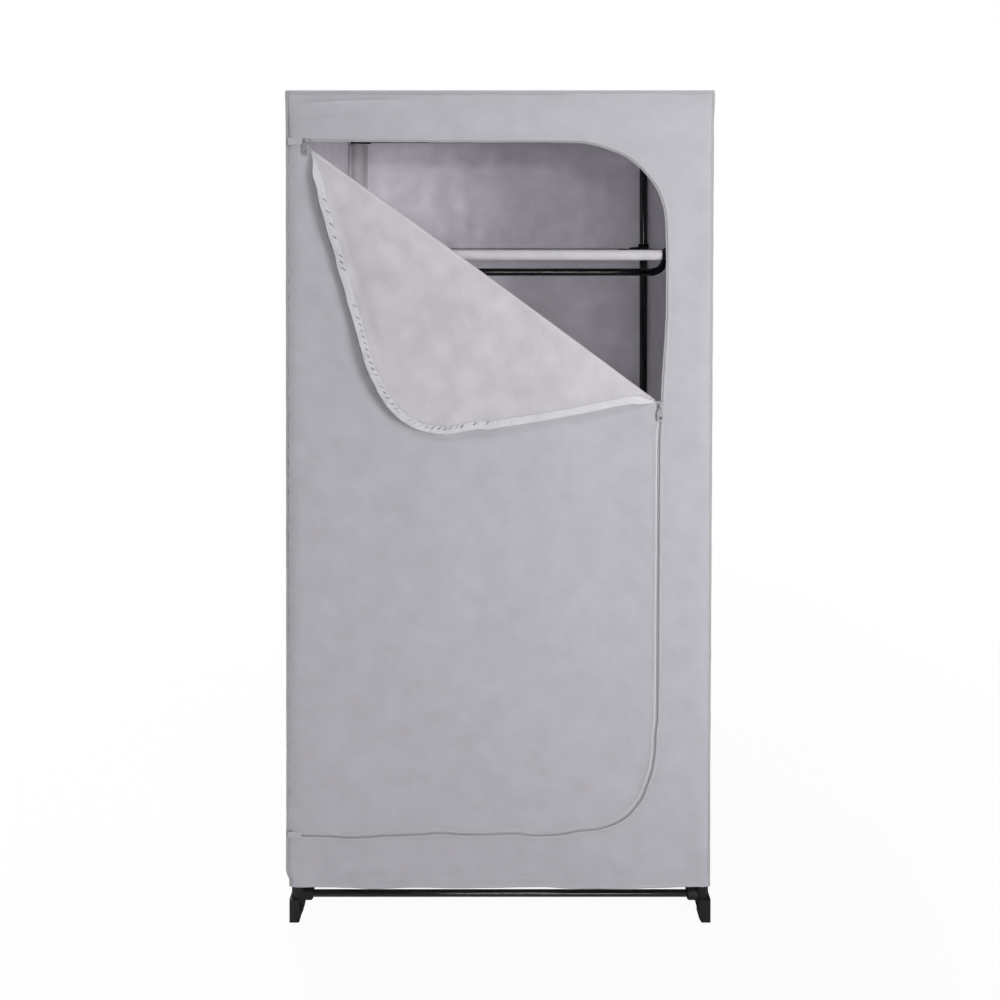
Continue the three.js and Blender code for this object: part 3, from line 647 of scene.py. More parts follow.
def stray(x, z):
    """Sideways and upward shift of the cloth beside the zip, whose line wanders as the cover hangs."""
    run, inward_x, inward_z = zip_run(x, z)
    shift = curve(run, ZIP_STRAY, 24) * ease(80 - np.abs(zip_offset(x, z)), 0, 80)
    return shift * inward_x, shift * inward_z


def flap_turn(x, z):
    """A flat place from the centre of the folded corner's round, and the turn to it from straight up."""
    dx, dz = x - FLAP_X, z - FLAP_Z
    angle = math.pi / 2 - np.arctan2(dz, np.maximum(dx, 1e-6))
    return dx, dz, np.clip(angle, 0, math.pi / 2 - FLAP_SLANT)


def flap_offset(x, z):
    """Distance outside the folded corner's own rounder edge, negative inside it."""
    dx, dz, _ = flap_turn(x, z)
    up = -dx * math.sin(FLAP_SLANT) + dz * math.cos(FLAP_SLANT)
    side = dx * math.cos(FLAP_SLANT) + dz * math.sin(FLAP_SLANT)
    return np.where((up > 0) & (dx > 0), np.hypot(dx, dz), np.maximum(side, dz)) - FLAP_CORNER


def flap_run(x, z):
    """Distance along the folded corner's free edge, from the top slider's end."""
    dx, dz, angle = flap_turn(x, z)
    down = np.maximum(dx * math.sin(FLAP_SLANT) - dz * math.cos(FLAP_SLANT), 0)
    return np.minimum(dx, 0) + FLAP_X - FOLD_START[0] + angle * FLAP_CORNER + np.where(dx > 0, down, 0)


def flap_spread(x, z):
    """How far the folded corner hangs outside its pattern near its edge, and that along and across the fold."""
    angle = flap_turn(x, z)[2]
    spread = curve(flap_run(x, z), FLAP_SPREAD, 26) * ease(115 + flap_offset(x, z), 0, 115)
    out_x, out_z = np.sin(angle), np.cos(angle)
    along = spread * (out_x * FOLD_ALONG[0] + out_z * FOLD_ALONG[1])
    return spread, along, spread * (out_x * FOLD_ACROSS[0] + out_z * FOLD_ACROSS[1])


def puckered(run):
    """Share of the puckers in the folded corner's tape: most round its corner."""
    most = ease(run, 300, 390) * ease(-run, -690, -590)
    return 0.3 * ease(run, 30, 120) + 0.7 * most - 0.3 * ease(run, 720, 860)


def puckered_flap(x, z):
    """The same at a flat place, and none on the door below the fold."""
    return puckered(flap_run(x, z)) * (fold_place(x, z)[1] > ROLL)


def flap_relief(x, z):
    """Puckers that the zip pulls into the folded corner's edge, and slow waves across it."""
    run = flap_run(x, z)
    inward = np.maximum(-flap_offset(x, z), 0)
    rope = np.sin((run + 0.9 * inward) * 2 * math.pi / 31 + 1.2 * np.sin(run / 37))
    total = 0.7 * puckered(run) * rope * np.exp(-inward / 16)
    total += swells(x, z, (2.2, 3, 210), (0.5, 4, 70), (0.14, 6, 30))
    # A shallow dip runs beside the tape down the side, and the cloth swells before it
    total -= 1.6 * np.exp(-(((inward - 24) / 9) ** 2)) * ease(run, 60, 160) * ease(-run, -560, -380)
    return slackness() * total


def door_outline(x, z):
    """Distance outside the door's cloth, negative inside it."""
    beside_slider = (x - CUT_X) * CUT_WAY_X + (z - CUT_Z) * CUT_WAY_Z
    lower = np.maximum(zip_offset(x, z) + CLOTH_EDGE, beside_slider)
    upper = np.maximum(flap_offset(x, z) + CLOTH_EDGE, CLOTH_START - x)
    share = np.clip(fold_place(x, z)[1] / ROLL, 0, 1)
    return np.maximum(lower * (1 - share) + upper * share, -PANEL_HALF - x)


def door_place(x, z):
    """Where a flat place on the closed door lies, with its corner folded down."""
    a, c = fold_place(x, z)
    spread, spread_a, spread_c = flap_spread(x, z)
    loose = ease(c, ROLL, ROLL + 60)
    a, c = a + spread_a * loose, c + spread_c * loose
    # Both ends of the fold are gathered under the sliders, and it bows up between them
    gathered = 0.15 + 0.85 * ease(a, 18, 62) * ease(FOLD_LENGTH + 12 - a, 0, 34)
    a = a + 8 * (1 - ease(a, 20, 60)) * ease(c, 0, 6)
    bow_height, lean, droop = 3.0, 0.04, 9
    bow = bow_height * np.sin(math.pi * np.clip(a / FOLD_LENGTH, 0, 1))
    c = c - bow
    radius = fold_radius(a)
    angle = np.clip(c / radius, 0, FOLD_TURN)
    past = np.maximum(c - radius * FOLD_TURN, 0) * gathered
    level = (FOLD_RADIUS - radius) * ease(40 - np.abs(c), 0, 40)
    across = bow + level + np.minimum(c, 0) + radius * np.sin(angle) + past * math.cos(FOLD_TURN)
    out = radius * (1 - np.cos(angle)) + past * math.sin(FOLD_TURN)
    # The folded corner leans back on the door below it
    loft = (flap_relief(x, z) + 0.3 * np.maximum(spread, 0)) * ease(past, 0, 40)
    out = out + loft - lean * past - droop * ease(past, 90, 280)
    relief = door_relief(x, z) * ease(-c, 0, 30) - corner_round(x, z) * (c < 0)
    px, pz = flat_place(a, across)
    lower = ease(-c, 0, 25)
    side, rise = stray(x, z)
    shift = np.where(c < 0, hang(px, pz), 0)
    return np.stack([px + shift + side * lower, FRONT + MIDDLE - out - relief, pz + rise * lower], axis=-1)


def door_frame(x, z):
    """Place on the door and the unit vector out of its outer face."""
    step = 0.4
    right = door_place(x + step, z) - door_place(x - step, z)
    up = door_place(x, z + step) - door_place(x, z - step)
    return door_place(x, z), unit(np.cross(right, up))


def front_place(x, z):
    """Where a flat place on the front panel lies: its waves, and the raised hem below and round the opening."""
    side, rise = stray(x, z)
    rounded = corner_round(x, z)
    low_hem = 0.35 * ease(HEM + HEM_DEPTH - z, -1, 1) + 0.7 * ease(HEM + 3.4 - z, 0, 1.5)
    relief = (front_relief(x, z) + rounded) * ease(zip_offset(x, z), 6, 60) - rounded + low_hem
    return np.stack([x + side + hang(x, z), FRONT + MIDDLE - relief, z + rise], axis=-1)


def front_frame(x, z):
    """Place on the front panel and its outward vector."""
    here = front_place(x, z)
    return here, np.broadcast_to((0.0, -1.0, 0.0), here.shape)


def zip_line(spacing):
    """The whole zip's line on the cover, from the lower left round to the upper left: places and ways inward."""

    def turn(z, start, end):
        ways = [(math.cos(t), math.sin(t)) for t in steps(start, end, spacing / ZIP_CORNER)[:-1]]
        return [((TURN_X + ZIP_CORNER * c, z + ZIP_CORNER * s), (-c, -s)) for c, s in ways]

    line = [((x, ZIP_BOTTOM), (0, 1)) for x in steps(ZIP_LEFT, TURN_X, spacing)[:-1]]
    line += turn(TURN_LOW, -math.pi / 2, 0)
    line += [((ZIP_RIGHT, z), (-1, 0)) for z in steps(TURN_LOW, TURN_HIGH, spacing)[:-1]]
    line += turn(TURN_HIGH, 0, math.pi / 2)
    line += [((x, ZIP_TOP), (0, -1)) for x in steps(TURN_X, ZIP_LEFT, spacing)]
    places, inward = zip(*line)
    return np.array(places, float), np.array(inward, float)


def door_line(spacing):
    """The door's own line: the zip's line up to the side slider, then the folded corner's edge to the top slider."""
    lower, _ = zip_line(spacing)
    lower = lower[lower[:, 1] < TAPE_TURN]
    split = [(285.0, 919.0), (283.2, 925.0), (280.2, 930.5), (278.3, 938.0), (277.0, 946.0)]
    cos, sin = math.cos(FLAP_SLANT), math.sin(FLAP_SLANT)
    foot = (FLAP_X + FLAP_CORNER * cos, FLAP_Z + FLAP_CORNER * sin)
    side = [(foot[0] + sin * d, foot[1] - cos * d) for d in steps((FLAP_Z - TAPE_FOOT) / cos, 0, spacing)]
    turns = steps(FLAP_SLANT, math.pi / 2, spacing / FLAP_CORNER)[1:]
    turn = [(FLAP_X + FLAP_CORNER * math.cos(t), FLAP_Z + FLAP_CORNER * math.sin(t)) for t in turns]
    top = [(x, ZIP_TOP) for x in steps(FLAP_X, TAPE_START, spacing)[1:]]
    line = np.array(list(lower) + split + side + turn + top)
    along = unit(np.gradient(line, axis=0))
    return line, np.stack([-along[:, 1], along[:, 0]], axis=1)


def unit(vectors):
    """Vectors at length one."""
    return vectors / np.linalg.norm(vectors, axis=-1, keepdims=True)


def evenly(line, inward, pitch):
    """Places at an even pitch along a line, and the ways inward from them."""
    run = run_along(line)
    at = np.arange(0, run[-1], pitch)
    place, side = (np.stack([np.interp(at, run, part[:, k]) for k in (0, 1)], axis=1) for part in (line, inward))
    return place, unit(side)


def ribbon(name, frame_of, line, inward, profile, finish, width=1.0, ripple=None):
    """A band along a line on the cloth; its section is distances inward from the line and out from the cloth."""
    rings, uv = [], []
    run = run_along(line)
    width = np.broadcast_to(width, run.shape)
    for across, out in profile:
        flat = line + inward * (across * width)[:, None]
        here, normal = frame_of(flat[:, 0], flat[:, 1])
        raised = out if ripple is None else out + ripple(flat, run, across)
        rings.append(here + normal * np.broadcast_to(raised, run.shape)[:, None])
        uv.append(np.stack([run, np.full(len(run), across + out)], axis=1))
    uv = np.stack(uv, axis=1).reshape(-1, 2)
    band = sweep(name, np.stack(rings, axis=1), [finishes[finish]], uv=uv)
    sharpen(band, 40)
    return band


def tape_pucker(flat, run, across):
    """The tape's own small puckers on the folded corner: narrow slanted dips along its inner half."""
    phase = (run + 0.8 * across) * math.pi / 13 + 0.9 * np.sin(run / 29)
    return puckered_flap(flat[:, 0], flat[:, 1]) * ease(across, 1.0, 9.0) * (1.8 * np.abs(np.sin(phase)) - 2.0)


def stitches(name, line, inward):
    """A row of lockstitches through the door's tape, near its inner edge."""
    pitch, across, below = 3.4, 12.6, 1.55
    place, side = evenly(line, inward, pitch)
    flat = place + side * across
    here, normal = door_frame(flat[:, 0], flat[:, 1])
    ahead = np.roll(here, -1, axis=0) - here
    ahead[-1] = ahead[-2]
    return grains(name, here - normal * below, unit(ahead), normal, (2.5, 0.8, 0.8), finishes["thread"])


def teeth(name, frame_of, line, inward, reach, out, material, phase=0.0):
    """One row of the coil's teeth: small bars across the zip's line, between two distances from it."""
    pitch = bpy.context.scene.wardrobe_frame.tooth_pitch / MM
    place, side = evenly(line, inward, pitch)
    place = place + (np.roll(place, -1, axis=0) - place) * phase
    place, side = place[:-1], side[:-1]
    middle = place + side * (reach[0] + reach[1]) / 2
    here, normal = frame_of(middle[:, 0], middle[:, 1])
    end, _ = frame_of(middle[:, 0] + side[:, 0], middle[:, 1] + side[:, 1])
    size = (reach[1] - reach[0], pitch * 0.8, 2.0)
    return grains(name, here + normal * out, unit(end - here), normal, size, finishes[material])


# Operators


class WardrobeOperator:
    bl_options = {"REGISTER", "UNDO"}


class WARDROBE_OT_stage(WardrobeOperator, bpy.types.Operator):
    """Floor, lights, world and camera"""

    bl_idname = "wardrobe.stage"
    bl_label = "Stage"

    def execute(self, context):
        scene = context.scene
        scene.view_settings.view_transform = "Standard"
        make_finishes(scene)
        self.floor()
        self.world(scene)
        self.lamp("key", (1.55, -2.0, 1.15), (0.0, -0.2, 1.05), (0.7, 0.8), 41.0)
        self.lamp("front", (0.25, -2.0, 2.9), (0.0, -0.2, 1.1), (1.2, 0.3), 11.0)
        self.lamp("level", (0.25, -3.1, 1.28), (0.0, 0.0, 1.15), (1.05, 0.16), 18.0)
        self.lamp("top", (-0.65, 0.1, 3.0), (-0.35, 0.05, 1.2), (1.0, 1.1), 43.0)
        self.lamp("back", (-1.5, 2.3, 2.1), (-0.3, 0.2, 1.2), (1.5, 1.5), 115.0)
        camera = bpy.data.cameras.new("camera")
        adjust(camera, lens=22.817, sensor_width=36.0, shift_y=-0.2568, clip_end=60.0)
        distance, height = 1.1306, 1.217
        view = bpy.data.objects.new("camera", camera)
        view.location = (0.0, FRONT * MM - distance, height)
        view.rotation_euler = (math.radians(90), 0.0, 0.0)
        scene.collection.objects.link(view)
        scene.camera = view
        return {"FINISHED"}

    def floor(self):
        """Pale floor that keeps the shadow close by and fades into the white beyond."""
        material, tree, place = new_material("pale_studio_floor", "Object")
        away = add_node(tree, "ShaderNodeVectorMath", {0: place}, operation="LENGTH").outputs["Value"]
        ends = {"Value": away, "From Min": 0.5, "From Max": 1.7, "To Min": 0.95}
        fade = add_node(tree, "ShaderNodeMapRange", ends, interpolation_type="SMOOTHSTEP").outputs["Result"]
        seen = add_node(tree, "ShaderNodeLightPath").outputs["Is Camera Ray"]
        share = add_node(tree, "ShaderNodeMath", {0: fade, 1: seen}, operation="MULTIPLY").outputs["Value"]
        matte = add_node(tree, "ShaderNodeBsdfDiffuse", {"Color": linear("c8c8c8")}).outputs["BSDF"]
        white = add_node(tree, "ShaderNodeEmission", {"Color": (1, 1, 1, 1), "Strength": 1.0}).outputs["Emission"]
        mix = add_node(tree, "ShaderNodeMixShader", {0: share, 1: matte, 2: white})
        add_node(tree, "ShaderNodeOutputMaterial", {"Surface": mix.outputs["Shader"]})
        radius, sides = 12000, 48
        turns = np.linspace(0, 2 * math.pi, sides, endpoint=False)
        ring = [(radius * math.cos(t), radius * math.sin(t), -0.2) for t in turns]
        piece("floor", ring, [list(range(sides))], [material], smooth=False)

    def world(self, scene):
        """White to the camera and through clear things, and a plain soft light on the object."""
        world = bpy.data.worlds.new("studio")
        world.use_nodes = True
        tree = world.node_tree
        tree.nodes.clear()
        ray = add_node(tree, "ShaderNodeLightPath").outputs
        rays = {0: ray["Is Camera Ray"], 1: ray["Is Transmission Ray"]}
        shown = add_node(tree, "ShaderNodeMath", rays, operation="MAXIMUM").outputs["Value"]
        soft, white = (
            add_node(tree, "ShaderNodeBackground", {"Color": colour, "Strength": strength}).outputs["Background"]
            for colour, strength in ((linear("fbfbfd"), 0.19), ((1, 1, 1, 1), 1.0)))
        mix = add_node(tree, "ShaderNodeMixShader", {0: shown, 1: soft, 2: white})
        add_node(tree, "ShaderNodeOutputWorld", {"Surface": mix.outputs["Shader"]})
        scene.world = world

    def lamp(self, name, place, target, size, power):
        """A rectangular lamp that faces its target."""
        data = bpy.data.lights.new(name, "AREA")
        light = bpy.data.objects.new(name, adjust(data, shape="RECTANGLE", size=size[0], size_y=size[1], energy=power))
        light.location = place
        light.rotation_euler = (Vector(target) - Vector(place)).to_track_quat("-Z", "Y").to_euler()
        bpy.context.scene.collection.objects.link(light)


class WARDROBE_OT_tubes(WardrobeOperator, bpy.types.Operator):
    """Posts, rails and the hanging rail, as round tubes with rolled ends"""

    bl_idname = "wardrobe.tubes"
    bl_label = "Tubes"

    def execute(self, context):
        sides = context.scene.wardrobe_frame.tube_sides
        turns = np.linspace(0, 2 * math.pi, sides, endpoint=False)[:, None]
        kinds = ("post_", "bottom_rail_", "shelf_rail_", "top_rail_", "hanging_rail")
        for name in sorted(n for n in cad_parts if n.startswith(kinds)):
            lo, hi = low(name), high(name)
            along = int(np.argmax(hi - lo))
            middle = (lo + hi) / 2
            profile = np.array(self.profile(float(np.sort(hi - lo)[0]) / 2, lo[along], hi[along], name))
            rings = np.empty((sides, len(profile), 3))
            rings[..., along] = profile[:, 1]
            first, second = (k for k in range(3) if k != along)
            rings[..., first] = middle[first] + profile[:, 0] * np.cos(turns)
            rings[..., second] = middle[second] + profile[:, 0] * np.sin(turns)
            tube = sweep(name + "_tube", rings, [finishes["steel"]], closed=True)
            sharpen(tube, 35)
            fasten(tube, "black_steel", name)
        return {"FINISHED"}

    def profile(self, radius, start, end, name):
        """Half the tube's long section, as radius and place along it: a lower post narrows to its joint."""
        wall, roll, joint_length = 1.0, 0.35, 30.0
        inner = radius - wall
        if not name.startswith("post_lower"):
            return [(inner, start), (radius - roll, start), (radius, start + roll),
                    (radius, end - roll), (radius - roll, end), (inner, end)]
        joint = end - joint_length
        return [(inner, start), (radius - 0.3, start), (radius, start + 0.4), (radius, joint - 3.4),
                (radius - 0.3, joint - 2.6), (inner - 0.1, joint), (inner - 0.3, joint + 29.4), (inner - 0.7, end),
                (inner - 1.2, end), (inner - 1.2, joint), (inner, joint - 3)]


class WARDROBE_OT_mouldings(WardrobeOperator, bpy.types.Operator):
    """Feet, connectors and brackets: softened edges and a moulded finish"""

    bl_idname = "wardrobe.mouldings"
    bl_label = "Mouldings"

    def execute(self, context):
        for name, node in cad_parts.items():
            if name.startswith(("foot_", "shelf_connector_", "top_corner_", "hanging_bracket_")):
                soften(node, 0.6, "mould")
        return {"FINISHED"}


class WARDROBE_OT_cover(WardrobeOperator, bpy.types.Operator):
    """Front surround, sides, back and top of the cloth cover, with their seams"""

    bl_idname = "wardrobe.cover"
    bl_label = "Cover"

    def execute(self, context):
        cloth = [finishes["outer"], finishes["inner"]]
        us = spans(-PANEL_HALF, (130, 6), (ZIP_RIGHT + 8, 4), (PANEL_HALF, 6))
        vs = spans(HEM, (HEM + 24, 2), (320, 4), (1240, 6), (PANEL_TOP, 3.5))
        flat, faces = cut_grid(us, vs, lambda x, z: CLOTH_EDGE - zip_offset(x, z))
        surround = thicken(piece("cover_front_cloth", front_place(flat[:, 0], flat[:, 1]), faces, cloth, flat))
        self.sewn(surround, "cover_front", 2 * PANEL_HALF, PANEL_TOP - HEM, area=0.33)
        for place, side in (("left", -1), ("right", 1)):
            self.side_panel(place, side, cloth)
        self.back_panel(cloth)
        self.top_panel(cloth)
        self.corner_facing(cloth)
        self.corner_seams()
        self.binding()
        return {"FINISHED"}

    def sewn(self, made, node, width, height, area=None, rests_on=("top_binding_cloth",)):
        """Fixes a panel to the frame and hides its node; its flat size is not used."""
        fasten(made, "grey_fabric", node)

    def side_panel(self, place, side, cloth):
        """A side: taut over the posts, drawn in a little between them."""
        depth = BACK - FRONT
        shares = spans(0, (24, 3), (depth, 8)) / depth
        zs = spans(HEM, (HEM + 24, 3), (TOP - 1.5, 8))
        share, z = np.meshgrid(shares, zs, indexing="ij")
        near = FRONT + corner_round(PANEL_HALF, z)
        y = near + share * (BACK - near)
        middle = np.sin(math.pi * share)
        slack = slackness() * middle * swells(y, z, (1.1, 11 + side, 240), (0.4, 13 + side, 90))
        drawn_in = 2.6
        drawn = (-drawn_in * middle * ease(TOP - z, 0, 220) + slack) * ease(TOP - z, 0, 30)
        drawn += 0.35 * ease(HEM + HEM_DEPTH - z, -1, 1)
        edge, held = corner_hang(z, side) * side, corner_hang(z, side, REAR_LIMIT) * side
        corner = held + (edge - held) * np.exp(-((y - near) / 8))
        x = side * (SIDE - MIDDLE + drawn + corner + 1.2 * np.exp(-((y - near) / 14)))
        made = sheet(f"cover_{place}_cloth", (x, y, z), (y, z), side > 0, cloth)
        self.sewn(made, f"cover_{place}", depth, TOP - HEM)

    def back_panel(self, cloth):
        """The back: the slackest panel, with soft upright creases."""
        x, z = np.meshgrid(steps(-PANEL_HALF, PANEL_HALF, 8), steps(HEM, PANEL_TOP, 8), indexing="ij")
        edge = ease(PANEL_HALF - np.abs(x), 0, 60) * ease(PANEL_TOP - z, 0, 60)
        soft = swells(x, z, (2.0, 21, 230), (1.3, 22, 85)) + 0.9 * waves(x * 2.6, z * 0.4, 23, 150)
        soft = np.clip(soft + 0.45 * waves(x, z, 24, 34), -4.5, 4.5)
        for one in BACK_CREASES:
            soft += crease(x, z, *one)
        y = BACK - MIDDLE + slackness() * soft * edge
        made = sheet("cover_back_cloth", (x + hang(x, z, REAR_LIMIT), y, z), (x, z), False, cloth)
        self.sewn(made, "cover_back", 2 * PANEL_HALF, PANEL_TOP - HEM)

    def top_panel(self, cloth):
        """The top: it sags a little between the top rails."""
        x, y = np.meshgrid(steps(-SIDE, SIDE, 8), steps(FRONT, BACK, 8), indexing="ij")
        sag = 5.0
        inner = ease(SIDE - np.abs(x), 18, 110) * ease(np.minimum(y - FRONT, BACK - y), 18, 110)
        z = TOP - MIDDLE + inner * (slackness() * swells(x, y, (0.9, 31, 190), (0.3, 32, 70)) - sag)
        made = sheet("cover_top_cloth", (x, y, z), (x, y), True, cloth)
        rails = ("top_rail_front_tube", "top_rail_rear_tube")
        self.sewn(made, "cover_top", 2 * SIDE, BACK - FRONT, rests_on=rails)

    def corner_facing(self, cloth):
        """A facing of the cover's cloth round the rear left post, from the left side to the back."""
        post_x, post_y, radius, count = -364.8, 251.6, 16.5, 24
        turn = np.radians(np.linspace(-122, 42, count))
        normal = np.stack([np.cos(turn), np.sin(turn)], axis=1)
        path = np.vstack([[4.0 - SIDE, post_y - 26], (post_x, post_y) + radius * normal, [post_x + 25, BACK - 3.4]])
        normal = np.vstack([[0, 0], normal, [0, 0]])
        loose = np.concatenate([[0], np.sin(np.linspace(0.3, math.pi - 0.3, count)), [0]])[:, None]
        zs = steps(1234, 1468, 6)
        z = np.broadcast_to(zs, (len(path), len(zs)))
        out = slackness() * loose * (0.9 + 0.9 * waves(z * 0.2, z, 51, 60))
        x, y = (path[:, k, None] + out * normal[:, k, None] for k in (0, 1))
        run = run_along(path)
        flat = (np.broadcast_to(run[:, None], z.shape), z)
        made = sheet("cover_post_facing", (x, y, z), flat, True, cloth[::-1], 0.8)
        fasten(made, "grey_fabric")

    def corner_seams(self):
        """A narrow bound seam down each upright corner, a little wavy."""
        section = [(0.0, 4.6), (-0.5, 4.6), (-0.8, 0.8), (-0.3, -0.35),
                   (0.8, -0.8), (4.6, -0.6), (4.6, 0.1), (0.7, 0.1)]
        zs = steps(HEM - 0.3, TOP - 6.5, 7)
        corners = (("front_left", -1, -1), ("front_right", 1, -1), ("rear_right", 1, 1), ("rear_left", -1, 1))
        for place, sx, sy in corners:
            wave = 0.35 * np.sin(zs / 23 + sx + 2 * sy) + 0.25 * np.sin(zs / 9.7 + 2 * sx)
            wave *= 1 + 1.2 * ease(zs, 1380, 1480)
            edge_y = FRONT + corner_round(PANEL_HALF, zs) if sy < 0 else np.full_like(zs, BACK)
            corner = corner_hang(zs, sx, NO_LIMIT if sy < 0 else REAR_LIMIT)
            rings = []
            for across, out in section:
                x = sx * (SIDE + 1.1 - across) + corner + sx * wave * 0.5 * (across < 2)
                y = edge_y - sy * (out + 0.25 + wave * 0.25)
                rings.append(np.stack([x, y, zs], axis=-1))
            if sx * sy > 0:
                rings = rings[::-1]
            self.bound(f"corner_seam_{place}", rings, zs, False)

    def bound(self, name, rings, run, closed, *nodes):
        """Seam tape from the lines along its section."""
        ring = np.stack(rings, axis=1)
        uv = np.stack([np.repeat(run, len(rings)), np.tile(np.arange(len(rings)) * 2.0, len(run))], axis=1)
        strip = sweep(name, ring, [finishes["seam"]], closed=closed, uv=uv)
        sharpen(strip, 50)
        fasten(strip, "seam_binding", *nodes)

    def binding(self):
        """The tape folded over the seam round the top, a little wavy below."""
        lo, hi = low("top_binding"), high("top_binding")
        radius, spacing = 3.0, 9
        near, far = lo + radius, hi - radius
        corners = ((far[0], far[1], 0), (near[0], far[1], 90), (near[0], near[1], 180), (far[0], near[1], 270))
        path = []
        for x, y, start in corners:
            for angle in np.radians(start + np.linspace(0, 90, 5)):
                cos, sin = math.cos(angle), math.sin(angle)
                path.append((x + radius * cos, y + radius * sin, cos, sin))
        dense = []
        for here, there in zip(path, path[1:] + path[:1]):
            count = max(1, int(math.hypot(there[0] - here[0], there[1] - here[1]) / spacing))
            dense += [[h + k / count * (t - h) for h, t in zip(here, there)] for k in range(count)]
        dense = np.array(dense)
        run = run_along(dense[:, :2])
        wave = 0.3 * np.sin(run / 31) + 0.2 * np.sin(run / 12.3)
        section = [(1.3, lo[2] + 0.2), (1.0, lo[2]), (0.7, lo[2] + 1.2), (0.3, hi[2] - 3.4), (0.5, hi[2] - 1.6),
                   (1.8, hi[2] - 0.6), (6.0, hi[2] - 0.3), (6.0, hi[2] - 0.9), (2.0, hi[2] - 1.4)]
        rings = []
        for inset, z in section[::-1]:
            x, y = (dense[:, k] - dense[:, k + 2] * inset for k in (0, 1))
            rings.append(np.stack([x, y, z + wave * (z < lo[2] + 1)], axis=-1))
        self.bound("top_binding_cloth", rings, run, True, "top_binding")


class WARDROBE_OT_door(WardrobeOperator, bpy.types.Operator):
    """The door: one sheet from the lower panel over the soft fold to the folded corner"""

    bl_idname = "wardrobe.door"
    bl_label = "Door"

    def execute(self, context):
        along = steps(-30, 1250, 6)
        across = spans(-1012, (-24, 6), (-2, 2.5), (20, 1.1), (50, 2.5), (345, 4))
        flat, faces = cut_grid(along, across, lambda a, c: door_outline(*flat_place(a, c)))
        x, z = flat_place(flat[:, 0], flat[:, 1])
        cloth = [finishes["outer"], finishes["inner"]]
        door = thicken(piece("door_cloth", door_place(x, z), faces, cloth, np.stack([x, z], axis=1)))
        bend_with_corner(door, "grey_fabric", "door_panel", "door_fold", "door_flap")
        return {"FINISHED"}


